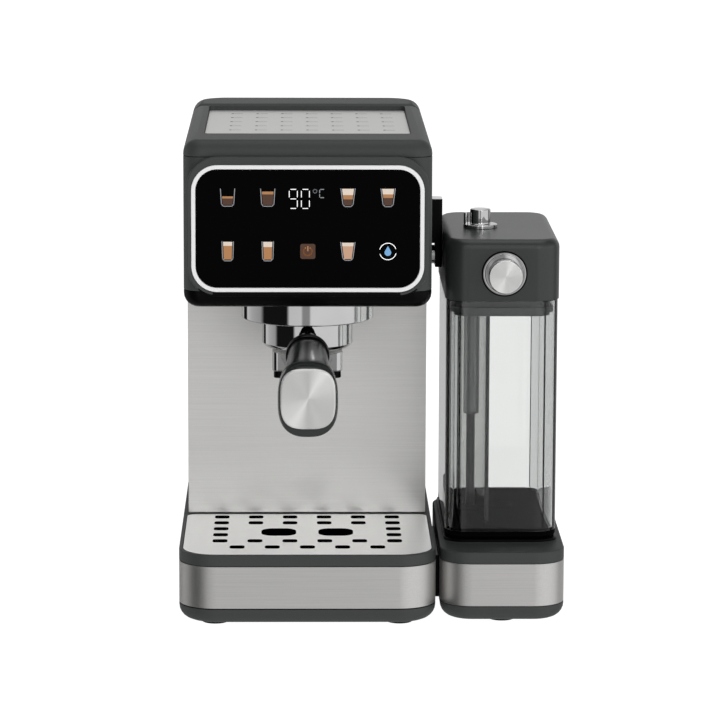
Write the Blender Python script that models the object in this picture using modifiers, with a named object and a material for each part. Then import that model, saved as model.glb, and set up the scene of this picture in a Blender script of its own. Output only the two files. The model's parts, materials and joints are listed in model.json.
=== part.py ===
"""Espresso machine with a docked milk-frothing tank, as separate pieces in metres with +Z up.

The design frame has X = 0 on the main unit's centre plane, Y = 0 on its front face and Z = 0 on
the counter. One root empty moves that frame so that the origin is the box's bottom centre.
"""

import math

import bmesh
import bpy
from mathutils import Matrix, Vector

# Fits shared by all pieces
GAP = 0.0003
SHEET = 0.001
CUT_PAST = 0.004

# Main unit, overall
BASE_WIDTH = 0.170
BASE_DEPTH = 0.288
MACHINE_HEIGHT = 0.3225
BASE_HALF = BASE_WIDTH / 2
BASE_CORNER = 0.025
BASE_HEEL = 0.009

# Stack of the base, shared by the main unit and the milk base
FOOT_HEIGHT = 0.003
FOOT_RADIUS = 0.009
FOOT_EDGE = 0.0006
FOOT_INSET = 0.024
PAN_HEIGHT = 0.0102
BAND_HEIGHT = 0.0286
RIM_HEIGHT = 0.0082
PAN_TOP = FOOT_HEIGHT + PAN_HEIGHT
BAND_TOP = PAN_TOP + BAND_HEIGHT
BASE_TOP = BAND_TOP + RIM_HEIGHT
BAND_SET_IN = SHEET + GAP
GROOVE_PAST = 0.002

# Drip tray and grate
TRAY_DEPTH = 0.1325
TRAY_WALL = 0.004
TRAY_FLOOR = 0.003
TRAY_RIM = 0.0025
TRAY_BACK_CORNER = 0.006
GRATE_THICK = 0.0012
TRAY_LEDGE = GRATE_THICK + 2 * GAP
SLOT_SIZE = 0.0095
SLOT_CORNER = 0.0034
SLOT_PITCH_X = 0.0233
SLOT_PITCH_Y = 0.0189
SLOT_FRONT_ROW = 0.0258
SLOT_SIDE_MARGIN = 0.024
SLOT_BACK_MARGIN = 0.011
SLOT_COLUMNS = 1 + int((BASE_WIDTH - 2 * SLOT_SIDE_MARGIN) / SLOT_PITCH_X)
SLOT_ROWS = 1 + int((TRAY_DEPTH - SLOT_FRONT_ROW - SLOT_BACK_MARGIN) / SLOT_PITCH_Y)
DRAIN_RADIUS = 0.0115
DRAIN_OFFSET = 0.0192

# Water tank at the rear, which sets where the column and the head end
WATER_SET_IN = 0.0008
WATER_DEPTH = 0.0509
WATER_CLEARANCE = 0.0023
WATER_WALL = 0.0022
WATER_CORNER = 0.010
WATER_BACK = BASE_DEPTH - WATER_SET_IN
WATER_FRONT = WATER_BACK - WATER_DEPTH
WATER_Y = (WATER_FRONT + WATER_BACK) / 2
WATER_LID_HEIGHT = 0.0175
WATER_LID_OVERHANG = 0.002
WATER_LID_BACK = BASE_DEPTH + WATER_LID_OVERHANG
WATER_TOP = MACHINE_HEIGHT - WATER_LID_HEIGHT
VALVE_RADIUS = 0.008
VALVE_STEM = 0.006
VALVE_PLUG = 0.006
VALVE_DISC = 0.003
SEAT_RADIUS = 0.0125
SEAT_DEPTH = 0.012
SEAT_FLOOR = 0.003

# Column behind the splash-back
COLUMN_SET_IN = 0.0033
COLUMN_WALL = 0.0025
COLUMN_HALF = BASE_HALF - COLUMN_SET_IN
COLUMN_BACK = WATER_FRONT - WATER_CLEARANCE

# Head
HEAD_HEIGHT = 0.1095
HEAD_SET_IN = 0.0042
HEAD_FRONT = 0.004
HEAD_REAR_SET_IN = 0.002
HEAD_CORNER = 0.012
HEAD_WALL = 0.003
HEAD_LOWER_COVER = 0.011
HEAD_UPPER_COVER = 0.0105
HEAD_ROUND = 0.009
BACK_CORNER = 0.024
PASSAGE_SIDE = 0.0157
PASSAGE_FRONT = 0.0175
PASSAGE_BACK = 0.012
HEAD_BOTTOM = MACHINE_HEIGHT - HEAD_HEIGHT
HEAD_HALF = BASE_HALF - HEAD_SET_IN
HEAD_BACK = COLUMN_BACK - HEAD_REAR_SET_IN
HEAD_LOWER_SPLIT = HEAD_BOTTOM + HEAD_LOWER_COVER
HEAD_UPPER_SPLIT = MACHINE_HEIGHT - HEAD_UPPER_COVER
WATER_LID_WALL = HEAD_WALL
WATER_SIDE = 0.0028
WATER_HALF = HEAD_HALF - WATER_SIDE

# Warming plate in the top cover
PLATE_SIDE = 0.0123
PLATE_FRONT_MARGIN = 0.043
PLATE_BACK_MARGIN = 0.008
PLATE_DEPTH = 0.0045
PLATE_CORNER = 0.004
PLATE_HALF = HEAD_HALF - PLATE_SIDE
PLATE_FRONT = HEAD_FRONT + PLATE_FRONT_MARGIN
PLATE_BACK = HEAD_BACK - PLATE_BACK_MARGIN

# Display, proud of the head's front
FRAME_SIDE = 0.0054
FRAME_HEIGHT = 0.0827
FRAME_BELOW_TOP = 0.0154
FRAME_CORNER = 0.0169
FRAME_WIDTH = 0.00275
SURROUND = 0.0030
SURROUND_TOP = 0.0054
GLASS_SET_BACK = 0.0006
GLASS_THICK = 0.0018
BOARD_THICK = 0.0012
BOARD_INSET = 0.004
FRAME_HALF = HEAD_HALF - FRAME_SIDE
FRAME_HIGH = MACHINE_HEIGHT - FRAME_BELOW_TOP
FRAME_LOW = FRAME_HIGH - FRAME_HEIGHT

# Portafilter radii, from which the group's own follow
RING_RADIUS = 0.0305
LUG_REACH = 0.0063
LUG_HEIGHT = 0.0024
LUG_ANGLE = math.radians(34)
LUG_ENTRY_WIDTH = 0.028
UNLOCK_ANGLE = math.radians(-50)
RING_WALL = 0.0039
RING_HEIGHT = 0.0281
RING_FLOOR_THICK = 0.0035
RING_CHAMFER = 0.003
BASKET_CLEARANCE = 0.0011
BASKET_SHEET = 0.0006
BASKET_TAPER = 0.0008
BASKET_FLANGE_SET_IN = 0.0006
BASKET_ABOVE_FLOOR = 0.003
LUG_RADIUS = RING_RADIUS + LUG_REACH
RING_BORE = RING_RADIUS - RING_WALL
BASKET_RADIUS = RING_BORE - BASKET_CLEARANCE
BASKET_FLANGE = RING_RADIUS - BASKET_FLANGE_SET_IN

# Brew group, hung under the head between its front and the splash-back
GROUP_OFF_CENTRE = 0.00375
GROUP_Y = (HEAD_FRONT + TRAY_DEPTH) / 2 + GROUP_OFF_CENTRE
COLLAR_CLEARANCE = 0.0025
COLLAR_WALL = 0.0069
COLLAR_HEIGHT = 0.016
COLLAR_EDGE = 0.0008
STEM_DROP = 0.0014
STEM_FLANGE = 0.009
GASKET_HEIGHT = 0.0048
GASKET_OVERLAP = 0.001
GASKET_SET_IN = 0.0009
SCREEN_CLEARANCE = 0.0008
SCREEN_DROP = 0.0064
SCREW_RADIUS = 0.0023
SCREW_HEAD = 0.005
SCREW_HEAD_HEIGHT = 0.0013
SCREW_TIP_GAP = 0.002
BLOCK_ABOVE_HEAD = 0.009
BLOCK_MARGIN = 0.004
BLOCK_FRONT = 0.044
BLOCK_DEPTH = 0.100
BLOCK_HEIGHT = 0.040
BLOCK_CORNER = 0.008
COLLAR_BORE = RING_RADIUS + COLLAR_CLEARANCE
COLLAR_GROOVE = LUG_RADIUS + GAP + 0.0002
COLLAR_RADIUS = COLLAR_GROOVE + COLLAR_WALL
COLLAR_BOTTOM = HEAD_BOTTOM - COLLAR_HEIGHT
STEM_RADIUS = COLLAR_BORE
STEM_BOTTOM = HEAD_BOTTOM - STEM_DROP
GASKET_BOTTOM = STEM_BOTTOM - GASKET_HEIGHT
GASKET_OUTER = RING_RADIUS + GASKET_OVERLAP
GASKET_INNER = BASKET_RADIUS - GASKET_SET_IN
SCREEN_RADIUS = GASKET_INNER - SCREEN_CLEARANCE
SCREEN_BOTTOM = STEM_BOTTOM - SCREEN_DROP
BLOCK_HALF = STEM_RADIUS + STEM_FLANGE + BLOCK_MARGIN
BLOCK_LOW = HEAD_BOTTOM + BLOCK_ABOVE_HEAD
BLOCK_HIGH = BLOCK_LOW + BLOCK_HEIGHT
BLOCK_BACK = GROUP_Y - BLOCK_FRONT + BLOCK_DEPTH

# Solenoid valve on the thermoblock
VALVE_X = 0.016
VALVE_BEHIND_GROUP = 0.030
VALVE_Y = GROUP_Y + VALVE_BEHIND_GROUP
COIL_RADIUS = 0.014
COIL_LOW = 0.006
COIL_HIGH = 0.028
VALVE_FOOT_RADIUS = 0.010
VALVE_NECK_RADIUS = 0.006
VALVE_HEIGHT = 0.036

# Portafilter heights, hung from the gasket
RING_TOP = GASKET_BOTTOM - BASKET_SHEET - 2 * GAP
RING_BOTTOM = RING_TOP - RING_HEIGHT
RING_FLOOR = RING_BOTTOM + RING_FLOOR_THICK
LEDGE_TOP = RING_TOP - LUG_HEIGHT - 2 * GAP
BASKET_BOTTOM = RING_FLOOR + BASKET_ABOVE_FLOOR
SPOUT_DROP = 0.003
SPOUT_HEIGHT = 0.0135
SPOUT_HALF = 0.0235
SPOUT_DEPTH = 0.018
SPOUT_CORNER = 0.004
SPOUT_NOTCH = 0.0045
SPOUT_NECK = 0.008
SPOUT_NECK_WALL = 0.003
SPOUT_HIGH = RING_BOTTOM - SPOUT_DROP
SPOUT_LOW = SPOUT_HIGH - SPOUT_HEIGHT
TIP_OFFSET = 0.0187
TIP_RADIUS = 0.0038
TIP_LENGTH = 0.005

# Portafilter handle, measured along its sloping axis from the ring
HANDLE_ABOVE_RING = 0.0055
HANDLE_Z = RING_BOTTOM + HANDLE_ABOVE_RING
HANDLE_SLOPE = math.radians(13.5)
NECK_RADIUS = 0.0078
NECK_ROOT = 0.0022
NECK_END = 0.014
FERRULE_RADIUS = 0.0143
FERRULE_EDGE = 0.0015
FERRULE_LENGTH = 0.006
FERRULE_END = NECK_END + FERRULE_LENGTH
STUD_RADIUS = 0.004
STUD_LENGTH = 0.046
STUD_END = NECK_END + STUD_LENGTH
GRIP_LENGTH = 0.0748
GRIP_START = FERRULE_END + GAP
GRIP_END = GRIP_START + GRIP_LENGTH
GRIP_NECK = 0.0130
GRIP_HALF_WIDTH = 0.0193
GRIP_HALF_HEIGHT = 0.0225
GRIP_EDGE = 0.001
CAP_HALF_WIDTH = 0.0176
CAP_HALF_HEIGHT = 0.0188
CAP_RAISE = 0.0028
CAP_THICK = 0.0018
CAP_EDGE = 0.0008

# Pump and hoses in the column
PUMP_RADIUS = 0.017
PUMP_LENGTH = 0.074
PUMP_BEFORE_BACK = 0.048
PUMP_ABOVE_BASE = 0.042
PUMP_Y = COLUMN_BACK - PUMP_BEFORE_BACK
PUMP_Z = BASE_TOP + PUMP_ABOVE_BASE
CRADLE_HALF_LENGTH = 0.024
CRADLE_HALF_DEPTH = 0.020
POWER_BOARD_HALF = 0.055
POWER_BOARD_THICK = 0.0016
POWER_BOARD_ABOVE_PUMP = 0.009
POWER_BOARD_BELOW_HEAD = 0.018
HOSE_RADIUS = 0.003
HOSE_GAP = 0.0007

# Milk side, a set way to the right of the main base
MILK_SPACE = 0.003
MILK_WIDTH = 0.0824
MILK_FRONT = 0.008
MILK_DEPTH = 0.182
MILK_CORNER = 0.021
MILK_LEFT = BASE_HALF + MILK_SPACE
MILK_RIGHT = MILK_LEFT + MILK_WIDTH
MILK_BACK = MILK_FRONT + MILK_DEPTH
MILK_EDGE = 0.0012
PLATFORM_HEIGHT = 0.002
PLATFORM_STEP = 0.003
PLATFORM_SIDE = 0.001
PLATFORM_ROOT = 0.006
PLATFORM_TOP = BASE_TOP + PLATFORM_HEIGHT
BRIDGE_FRONT = 0.036
BRIDGE_BACK = 0.128
TANK_LEFT_MARGIN = 0.004
TANK_RIGHT_MARGIN = 0.0044
TANK_FRONT_MARGIN = 0.032
TANK_BACK_MARGIN = 0.004
TANK_BELOW_HEAD = 0.001
TANK_LEFT = MILK_LEFT + TANK_LEFT_MARGIN
TANK_RIGHT = MILK_RIGHT - TANK_RIGHT_MARGIN
TANK_FRONT = MILK_FRONT + TANK_FRONT_MARGIN
TANK_BACK = MILK_BACK - TANK_BACK_MARGIN
TANK_TOP = HEAD_BOTTOM - TANK_BELOW_HEAD
TANK_WALL = 0.0026
TANK_FLOOR = 0.0044
TANK_CORNER = 0.015
TANK_HEEL = 0.002

# Milk lid and what it carries
LID_OVERHANG = 0.0008
LID_HEIGHT = 0.041
LID_TOP = TANK_TOP + LID_HEIGHT
LID_ROUND = 0.006
LID_WALL = 0.003
COLLAR_DEPTH = 0.0105
COLLAR_ROOT = 0.004
SEAL_THICK = 0.002
SEAL_HEIGHT = 0.0035
SEAL_BELOW_TOP = 0.0045
SHAFT_RADIUS = 0.0032
KNOB_FROM_LEFT = 0.0377
KNOB_ABOVE_TANK = 0.0187
KNOB_X = TANK_LEFT + KNOB_FROM_LEFT
KNOB_Z = TANK_TOP + KNOB_ABOVE_TANK
KNOB_RADIUS = 0.0113
KNOB_LENGTH = 0.016
KNOB_EDGE = 0.0008
KNOB_RING_RADIUS = 0.0147
KNOB_RING_DEPTH = 0.004
KNOB_RING_WIDTH = 0.0022
KNOB_RING_FLOOR = 0.0015
KNOB_RING_PROUD = 0.0006
CHAMBER_RADIUS = 0.010
CHAMBER_LENGTH = 0.060
CHAMBER_SHAFT_DEPTH = 0.006
TUBE_FROM_LEFT = 0.0195
TUBE_X = TANK_LEFT + TUBE_FROM_LEFT
TUBE_Y = TANK_FRONT + 0.073
TUBE_RADIUS = 0.003
TUBE_WALL = 0.001
SLEEVE_RADIUS = 0.0057
SLEEVE_BELOW_TOP = 0.0878
SLEEVE_LOW = TANK_TOP - SLEEVE_BELOW_TOP
TUBE_ABOVE_FLOOR = 0.0038
TUBE_LOW = PLATFORM_TOP + GAP + TANK_FLOOR + TUBE_ABOVE_FLOOR
LEVEL_ROD_RADIUS = 0.0013
LEVEL_ROD_FROM_KNOB = 0.0091
LEVEL_ROD_Y = TANK_FRONT + 0.030
LEVEL_ROD_ABOVE_FLOOR = 0.0015
TOP_KNOB_FROM_LEFT = 0.0245
TOP_KNOB_X = TANK_LEFT + TOP_KNOB_FROM_LEFT
TOP_KNOB_Y = TANK_FRONT + 0.063
TOP_KNOB_RADIUS = 0.0069
TOP_KNOB_EDGE = 0.0006
TOP_KNOB_FLANGE = 0.0115
TOP_KNOB_FLANGE_HEIGHT = 0.0022
TOP_KNOB_HEIGHT = 0.0124
TOP_PIN_RADIUS = 0.0015
TOP_PIN_SET_IN = 0.0018
TOP_PIN_HEIGHT = 0.0096
SPIGOT_DEPTH = 0.010

# Dock on the head's right side, level with the milk lid's inlet
DOCK_FROM_FRONT = 0.068
DOCK_Y = TANK_FRONT + DOCK_FROM_FRONT
DOCK_HALF_DEPTH = 0.008
DOCK_CORNER = 0.002
NOZZLE_ABOVE_TANK = 0.022
NOZZLE_Z = TANK_TOP + NOZZLE_ABOVE_TANK
NOZZLE_RADIUS = 0.0048
NOZZLE_BORE = 0.0022
NOZZLE_FLANGE = 0.0016
NOZZLE_INSIDE = 0.0108
NOZZLE_START = HEAD_HALF - NOZZLE_INSIDE
DOCK_REACH = TANK_LEFT - LID_OVERHANG - GAP
DOCK_NOTCH = 0.005
DOCK_LOW = NOZZLE_Z - 0.0078
DOCK_NOTCH_TOP = NOZZLE_Z + 0.0085
DOCK_HIGH = NOZZLE_Z + 0.0385

# Outer reach of the whole object, which fixes the origin
HANDLE_REACH = GRIP_END + CAP_THICK + GAP
FRONT_REACH = GROUP_Y - RING_RADIUS - HANDLE_REACH * math.cos(HANDLE_SLOPE)
CENTRE_X = (MILK_RIGHT - BASE_HALF) / 2
CENTRE_Y = (WATER_LID_BACK + FRONT_REACH) / 2

# Finish values: base colour, roughness, metallic
FINISHES = {
    "charcoal_plastic": ((0.058, 0.061, 0.060), 0.42, 0.0),
    "black_plastic": ((0.012, 0.012, 0.012), 0.35, 0.0),
    "pale_plastic": ((0.83, 0.83, 0.83), 0.35, 0.0),
    "black_glass": ((0.004, 0.004, 0.004), 0.06, 0.0),
    "clear_plastic": ((0.55, 0.56, 0.57), 0.08, 0.0),
    "brushed_steel": ((0.56, 0.56, 0.55), 0.30, 1.0),
    "chrome": ((0.78, 0.78, 0.78), 0.06, 1.0),
    "aluminium": ((0.60, 0.61, 0.62), 0.40, 1.0),
    "silicone": ((0.30, 0.31, 0.31), 0.60, 0.0),
    "rubber": ((0.020, 0.020, 0.020), 0.80, 0.0),
    "board_green": ((0.020, 0.090, 0.045), 0.50, 0.0),
}

EDGE_SEGMENTS = 3
CORNER_SEGMENTS = 5
TURN_STEPS = 24


def clear_scene():
    """Removes every object of the scene."""
    for item in list(bpy.data.objects):
        bpy.data.objects.remove(item, do_unlink=True)


def new_collection(name):
    """Adds a collection to the scene."""
    collection = bpy.data.collections.new(name)
    bpy.context.scene.collection.children.link(collection)
    return collection


clear_scene()
PARTS = new_collection("espresso_machine")
CUTTERS = new_collection("cutters")


def new_empty(name, place, parent):
    """Adds an empty at a point of the design frame."""
    empty = bpy.data.objects.new(name, None)
    PARTS.objects.link(empty)
    empty.location = place
    empty.empty_display_size = 0.02
    empty.parent = parent
    return empty


ROOT = new_empty("machine_frame", (-CENTRE_X, -CENTRE_Y, 0), None)


def parent_inverse(parent):
    """Keeps a child's location in the design frame, also under an empty that stands on the root."""
    offset = Vector((0, 0, 0)) if parent is ROOT else Vector(parent.location)
    return Matrix.Translation(-offset)


TRAY = new_empty("tray_slide", (0, 0, BASE_TOP), ROOT)
PORTAFILTER = new_empty("portafilter_axis", (0, GROUP_Y, HANDLE_Z), ROOT)
MILK_TANK = new_empty("milk_tank_slide", (TANK_LEFT, DOCK_Y, NOZZLE_Z), ROOT)
FROTH_AXIS = new_empty("froth_knob_axis", (KNOB_X, TANK_FRONT, KNOB_Z), ROOT)
TOP_AXIS = new_empty("top_knob_axis", (TOP_KNOB_X, TOP_KNOB_Y, LID_TOP), ROOT)
WATER = new_empty("water_tank_slide", (0, WATER_BACK, BASE_TOP), ROOT)
LID_HINGE = new_empty("water_lid_hinge", (0, WATER_LID_BACK, WATER_TOP + GAP), ROOT)


def give_finish(item, finish):
    """Gives an object a Principled material of its own."""
    colour, roughness, metallic = FINISHES[finish]
    material = bpy.data.materials.new(f"{item.name}_{finish}")
    material.use_nodes = True
    shader = material.node_tree.nodes["Principled BSDF"]
    shader.inputs["Base Color"].default_value = (*colour, 1.0)
    shader.inputs["Roughness"].default_value = roughness
    shader.inputs["Metallic"].default_value = metallic
    item.data.materials.append(material)


def add_part(name, mesh, finish, parent=None, place=(0, 0, 0), turn=(0, 0, 0)):
    """Makes a mesh a named part, carried by an empty."""
    item = bpy.data.objects.new(name, mesh)
    PARTS.objects.link(item)
    item.parent = parent or ROOT
    item.matrix_parent_inverse = parent_inverse(item.parent)
    item.location = place
    item.rotation_euler = turn
    give_finish(item, finish)
    return item


def add_cutter(name, mesh, place=(0, 0, 0), turn=(0, 0, 0)):
    """Makes a mesh a helper that only cuts or joins."""
    item = bpy.data.objects.new(f"{name}_cutter", mesh)
    CUTTERS.objects.link(item)
    item.parent = ROOT
    item.location = place
    item.rotation_euler = turn
    item.hide_render = True
    item.display_type = "WIRE"
    return item


def combine(item, helper, operation="DIFFERENCE"):
    """Adds a Boolean that cuts the helper out of the item, or joins it on."""
    modifier = item.modifiers.new(helper.name, "BOOLEAN")
    modifier.operation = operation
    modifier.solver = "EXACT"
    modifier.object = helper
    return item


def mesh_from(shape, name):
    """Ends a bmesh and returns its mesh."""
    bmesh.ops.recalc_face_normals(shape, faces=shape.faces)
    mesh = bpy.data.meshes.new(name)
    shape.to_mesh(mesh)
    shape.free()
    mesh.shade_smooth()
    mesh.set_sharp_from_angle(angle=math.radians(35))
    return mesh


def flat_edges(shape, height):
    """The edges that lie at one height."""
    return [edge for edge in shape.edges if all(abs(vert.co.z - height) < 1e-6 for vert in edge.verts)]


def add_block(shape, low, high, front=0.0, back=0.0, top=0.0, bottom=0.0, segments=CORNER_SEGMENTS):
    """Adds a box with rounded plan corners and rounded top and bottom edges to a bmesh."""
    low = Vector(low)
    high = Vector(high)
    box = bmesh.new()
    bmesh.ops.create_cube(box, size=1.0)
    bmesh.ops.scale(box, vec=high - low, verts=box.verts)
    bmesh.ops.translate(box, vec=(low + high) / 2, verts=box.verts)
    middle = (low.y + high.y) / 2
    for radius, is_front in ((front, True), (back, False)):
        if radius <= 0:
            continue
        uprights = [edge for edge in box.edges if abs(edge.verts[0].co.z - edge.verts[1].co.z) > 1e-6]
        chosen = [edge for edge in uprights if (edge.verts[0].co.y < middle) == is_front]
        chosen = [edge for edge in chosen if len({round(vert.co.y, 6) for vert in edge.verts}) == 1]
        corners = [edge for edge in chosen if is_corner(edge, low, high)]
        bmesh.ops.bevel(box, geom=corners, offset=radius, segments=segments, profile=0.5, affect="EDGES")
    for height, radius in ((high.z, top), (low.z, bottom)):
        if radius > 0:
            rim = flat_edges(box, height)
            bmesh.ops.bevel(
                box, geom=rim, offset=radius, segments=EDGE_SEGMENTS, profile=0.5, affect="EDGES"
            )
    mesh = bpy.data.meshes.new("block")
    box.to_mesh(mesh)
    box.free()
    shape.from_mesh(mesh)
    bpy.data.meshes.remove(mesh)
    return shape


def is_corner(edge, low, high):
    """Whether an upright edge is still one of the box's own corners."""
    place = edge.verts[0].co
    on_side = min(abs(place.x - low.x), abs(place.x - high.x)) < 1e-6
    on_end = min(abs(place.y - low.y), abs(place.y - high.y)) < 1e-6
    return on_side and on_end


def block(low, high, **rounding):
    """A rounded box as a mesh."""
    return mesh_from(add_block(bmesh.new(), low, high, **rounding), "block")


def grown(low, high, by, up=0.0):
    """The corners of a box grown sideways, and upward by its own amount."""
    return (low[0] - by, low[1] - by, low[2] - up), (high[0] + by, high[1] + by, high[2] + up)


def rod(radius, length, axis="Z", tip=None, segments=TURN_STEPS):
    """A cylinder or cone frustum centred on its origin, along one axis."""
    shape = bmesh.new()
    bmesh.ops.create_cone(
        shape,
        cap_ends=True,
        segments=segments,
        radius1=radius,
        radius2=radius if tip is None else tip,
        depth=length,
        matrix={
            "X": Matrix.Rotation(math.pi / 2, 4, "Y"),
            "Y": Matrix.Rotation(math.pi / 2, 4, "X"),
            "Z": Matrix.Identity(4),
        }[axis],
    )
    return mesh_from(shape, "rod")


def upright_rod(radius, low, high, segments=TURN_STEPS):
    """A vertical cylinder between two heights."""
    mesh = rod(radius, high - low, segments=segments)
    mesh.transform(Matrix.Translation((0, 0, (low + high) / 2)))
    return mesh


def turned(name, profile, finish, parent=None, place=(0, 0, 0), turn=(0, 0, 0), steps=TURN_STEPS):
    """A part turned from a profile of radius and height, down its outer side first."""
    mesh = bpy.data.meshes.new(name)
    on_axis = profile[0][0] < 1e-7 and profile[-1][0] < 1e-7
    count = len(profile)
    edges = [(index, index + 1) for index in range(count - 1)]
    if not on_axis:
        edges.append((count - 1, 0))
    mesh.from_pydata([(radius, 0, height) for radius, height in profile], edges, [])
    item = add_part(name, mesh, finish, parent, place, turn)
    screw = item.modifiers.new("turn", "SCREW")
    screw.axis = "Z"
    screw.steps = steps
    screw.render_steps = steps
    screw.use_merge_vertices = True
    screw.merge_threshold = 0.00001
    screw.use_smooth_shade = True
    return item


def hose(name, points, radius, finish, parent=None):
    """A hose along a smooth curve through its route's points."""
    curve = bpy.data.curves.new(name, "CURVE")
    curve.dimensions = "3D"
    curve.bevel_depth = radius
    curve.bevel_resolution = 1
    curve.use_fill_caps = True
    route = smooth_route([Vector(point) for point in points])
    spline = curve.splines.new("POLY")
    spline.points.add(len(route) - 1)
    for target, point in zip(spline.points, route):
        target.co = (*point, 1.0)
    return add_part(name, curve, finish, parent)


def smooth_route(points, steps=3):
    """Points of a Catmull-Rom curve through the given ones."""
    padded = [2 * points[0] - points[1], *points, 2 * points[-1] - points[-2]]
    route = []
    for index in range(1, len(padded) - 2):
        before, start, end, after = padded[index - 1 : index + 3]
        for step in range(steps):
            t = step / steps
            straight = 2 * start + (end - before) * t
            bend = (2 * before - 5 * start + 4 * end - after) * t * t
            twist = (3 * start - before - 3 * end + after) * t * t * t
            route.append((straight + bend + twist) / 2)
    route.append(points[-1])
    return route


def loft(sections, power, around=28):
    """A closed body through rounded-square sections: distance, half width, half height, rise, lean."""
    shape = bmesh.new()
    rings = []
    for distance, half_width, half_height, rise, lean in sections:
        ring = []
        for step in range(around):
            angle = 2 * math.pi * step / around
            across = math.copysign(abs(math.cos(angle)) ** (2 / power), math.cos(angle))
            up = math.copysign(abs(math.sin(angle)) ** (2 / power), math.sin(angle))
            height = rise + up * half_height
            ring.append(shape.verts.new((across * half_width, lean * height - distance, height)))
        rings.append(ring)
    for ring, following in zip(rings, rings[1:]):
        for step in range(around):
            beside = (step + 1) % around
            shape.faces.new((ring[step], ring[beside], following[beside], following[step]))
    shape.faces.new(rings[0])
    shape.faces.new(rings[-1])
    return mesh_from(shape, "loft")


def band_ring(low, high, wall, front, back, past_front=False, past_back=False):
    """The low and high corners of the box that hollows a band, left open at one end if asked."""
    inner_low = Vector((low[0] + wall, low[1] + wall, low[2] - CUT_PAST))
    inner_high = Vector((high[0] - wall, high[1] - wall, high[2] + CUT_PAST))
    if past_front:
        inner_low.y = low[1] - CUT_PAST
    if past_back:
        inner_high.y = high[1] + CUT_PAST
    return block(inner_low, inner_high, front=max(front - wall, 0), back=max(back - wall, 0))


def steel_band(name, low, high, front, back, parent=None, **open_ends):
    """A strip of steel bent round a base."""
    item = add_part(name, block(low, high, front=front, back=back), "brushed_steel", parent)
    hollow = add_cutter(name, band_ring(low, high, SHEET, front, back, **open_ends))
    return combine(item, hollow)


def cut_band_groove(item, low, high, front, back, below=GAP, **open_ends):
    """Cuts the seat of a steel band round a base, open below where the base ends there."""
    past = GROOVE_PAST
    wide_low, wide_high = grown(low, high, past)
    groove_low = (wide_low[0], wide_low[1], low[2] - below)
    groove_high = (wide_high[0], wide_high[1], high[2] + GAP)
    helper = add_cutter(
        f"{item.name}_groove", block(groove_low, groove_high, front=front + past, back=back + past)
    )
    core_low = (low[0], low[1], low[2] - below)
    core = add_cutter(f"{item.name}_core", band_ring(core_low, high, BAND_SET_IN, front, back, **open_ends))
    combine(helper, core)
    return combine(item, helper)


def build_base():
    """Pan, rear base with its band, and rubber feet."""
    half = BASE_HALF
    pan_low = (-half, 0, FOOT_HEIGHT)
    pan_high = (half, BASE_DEPTH, PAN_TOP)
    add_part(
        "base_pan",
        block(pan_low, pan_high, front=BASE_CORNER, back=BASE_CORNER, bottom=BASE_HEEL),
        "charcoal_plastic",
    )
    rear_front = TRAY_DEPTH + GAP
    rear_low = (-half, rear_front, PAN_TOP + GAP)
    rear_high = (half, BASE_DEPTH, BASE_TOP - GAP)
    rear = add_part("rear_base", block(rear_low, rear_high, back=BASE_CORNER), "charcoal_plastic")
    band_low = (-half, rear_front, PAN_TOP + 2 * GAP)
    band_high = (half, BASE_DEPTH, BAND_TOP)
    cut_band_groove(rear, band_low, band_high, 0, BASE_CORNER, below=CUT_PAST, past_front=True)
    pocket = upright_rod(SEAT_RADIUS + GAP, rear_high[2] - SEAT_DEPTH, rear_high[2] + CUT_PAST, 24)
    combine(rear, add_cutter("seat_pocket", pocket, place=(0, WATER_Y, 0)))
    steel_band("rear_band", band_low, band_high, 0, BASE_CORNER, past_front=True)
    for number, (x, y) in enumerate(
        (side * (half - FOOT_INSET), along)
        for side in (-1, 1)
        for along in (FOOT_INSET, BASE_DEPTH - FOOT_INSET)
    ):
        add_foot(f"foot_{number + 1}", x, y)


def add_foot(name, x, y):
    """A turned rubber foot under a pan."""
    profile = [
        (0, FOOT_HEIGHT - GAP),
        (FOOT_RADIUS, FOOT_HEIGHT - GAP),
        (FOOT_RADIUS, FOOT_EDGE),
        (FOOT_RADIUS - FOOT_EDGE, 0),
        (0, 0),
    ]
    turned(name, profile, "rubber", place=(x, y, 0), steps=16)


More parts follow.
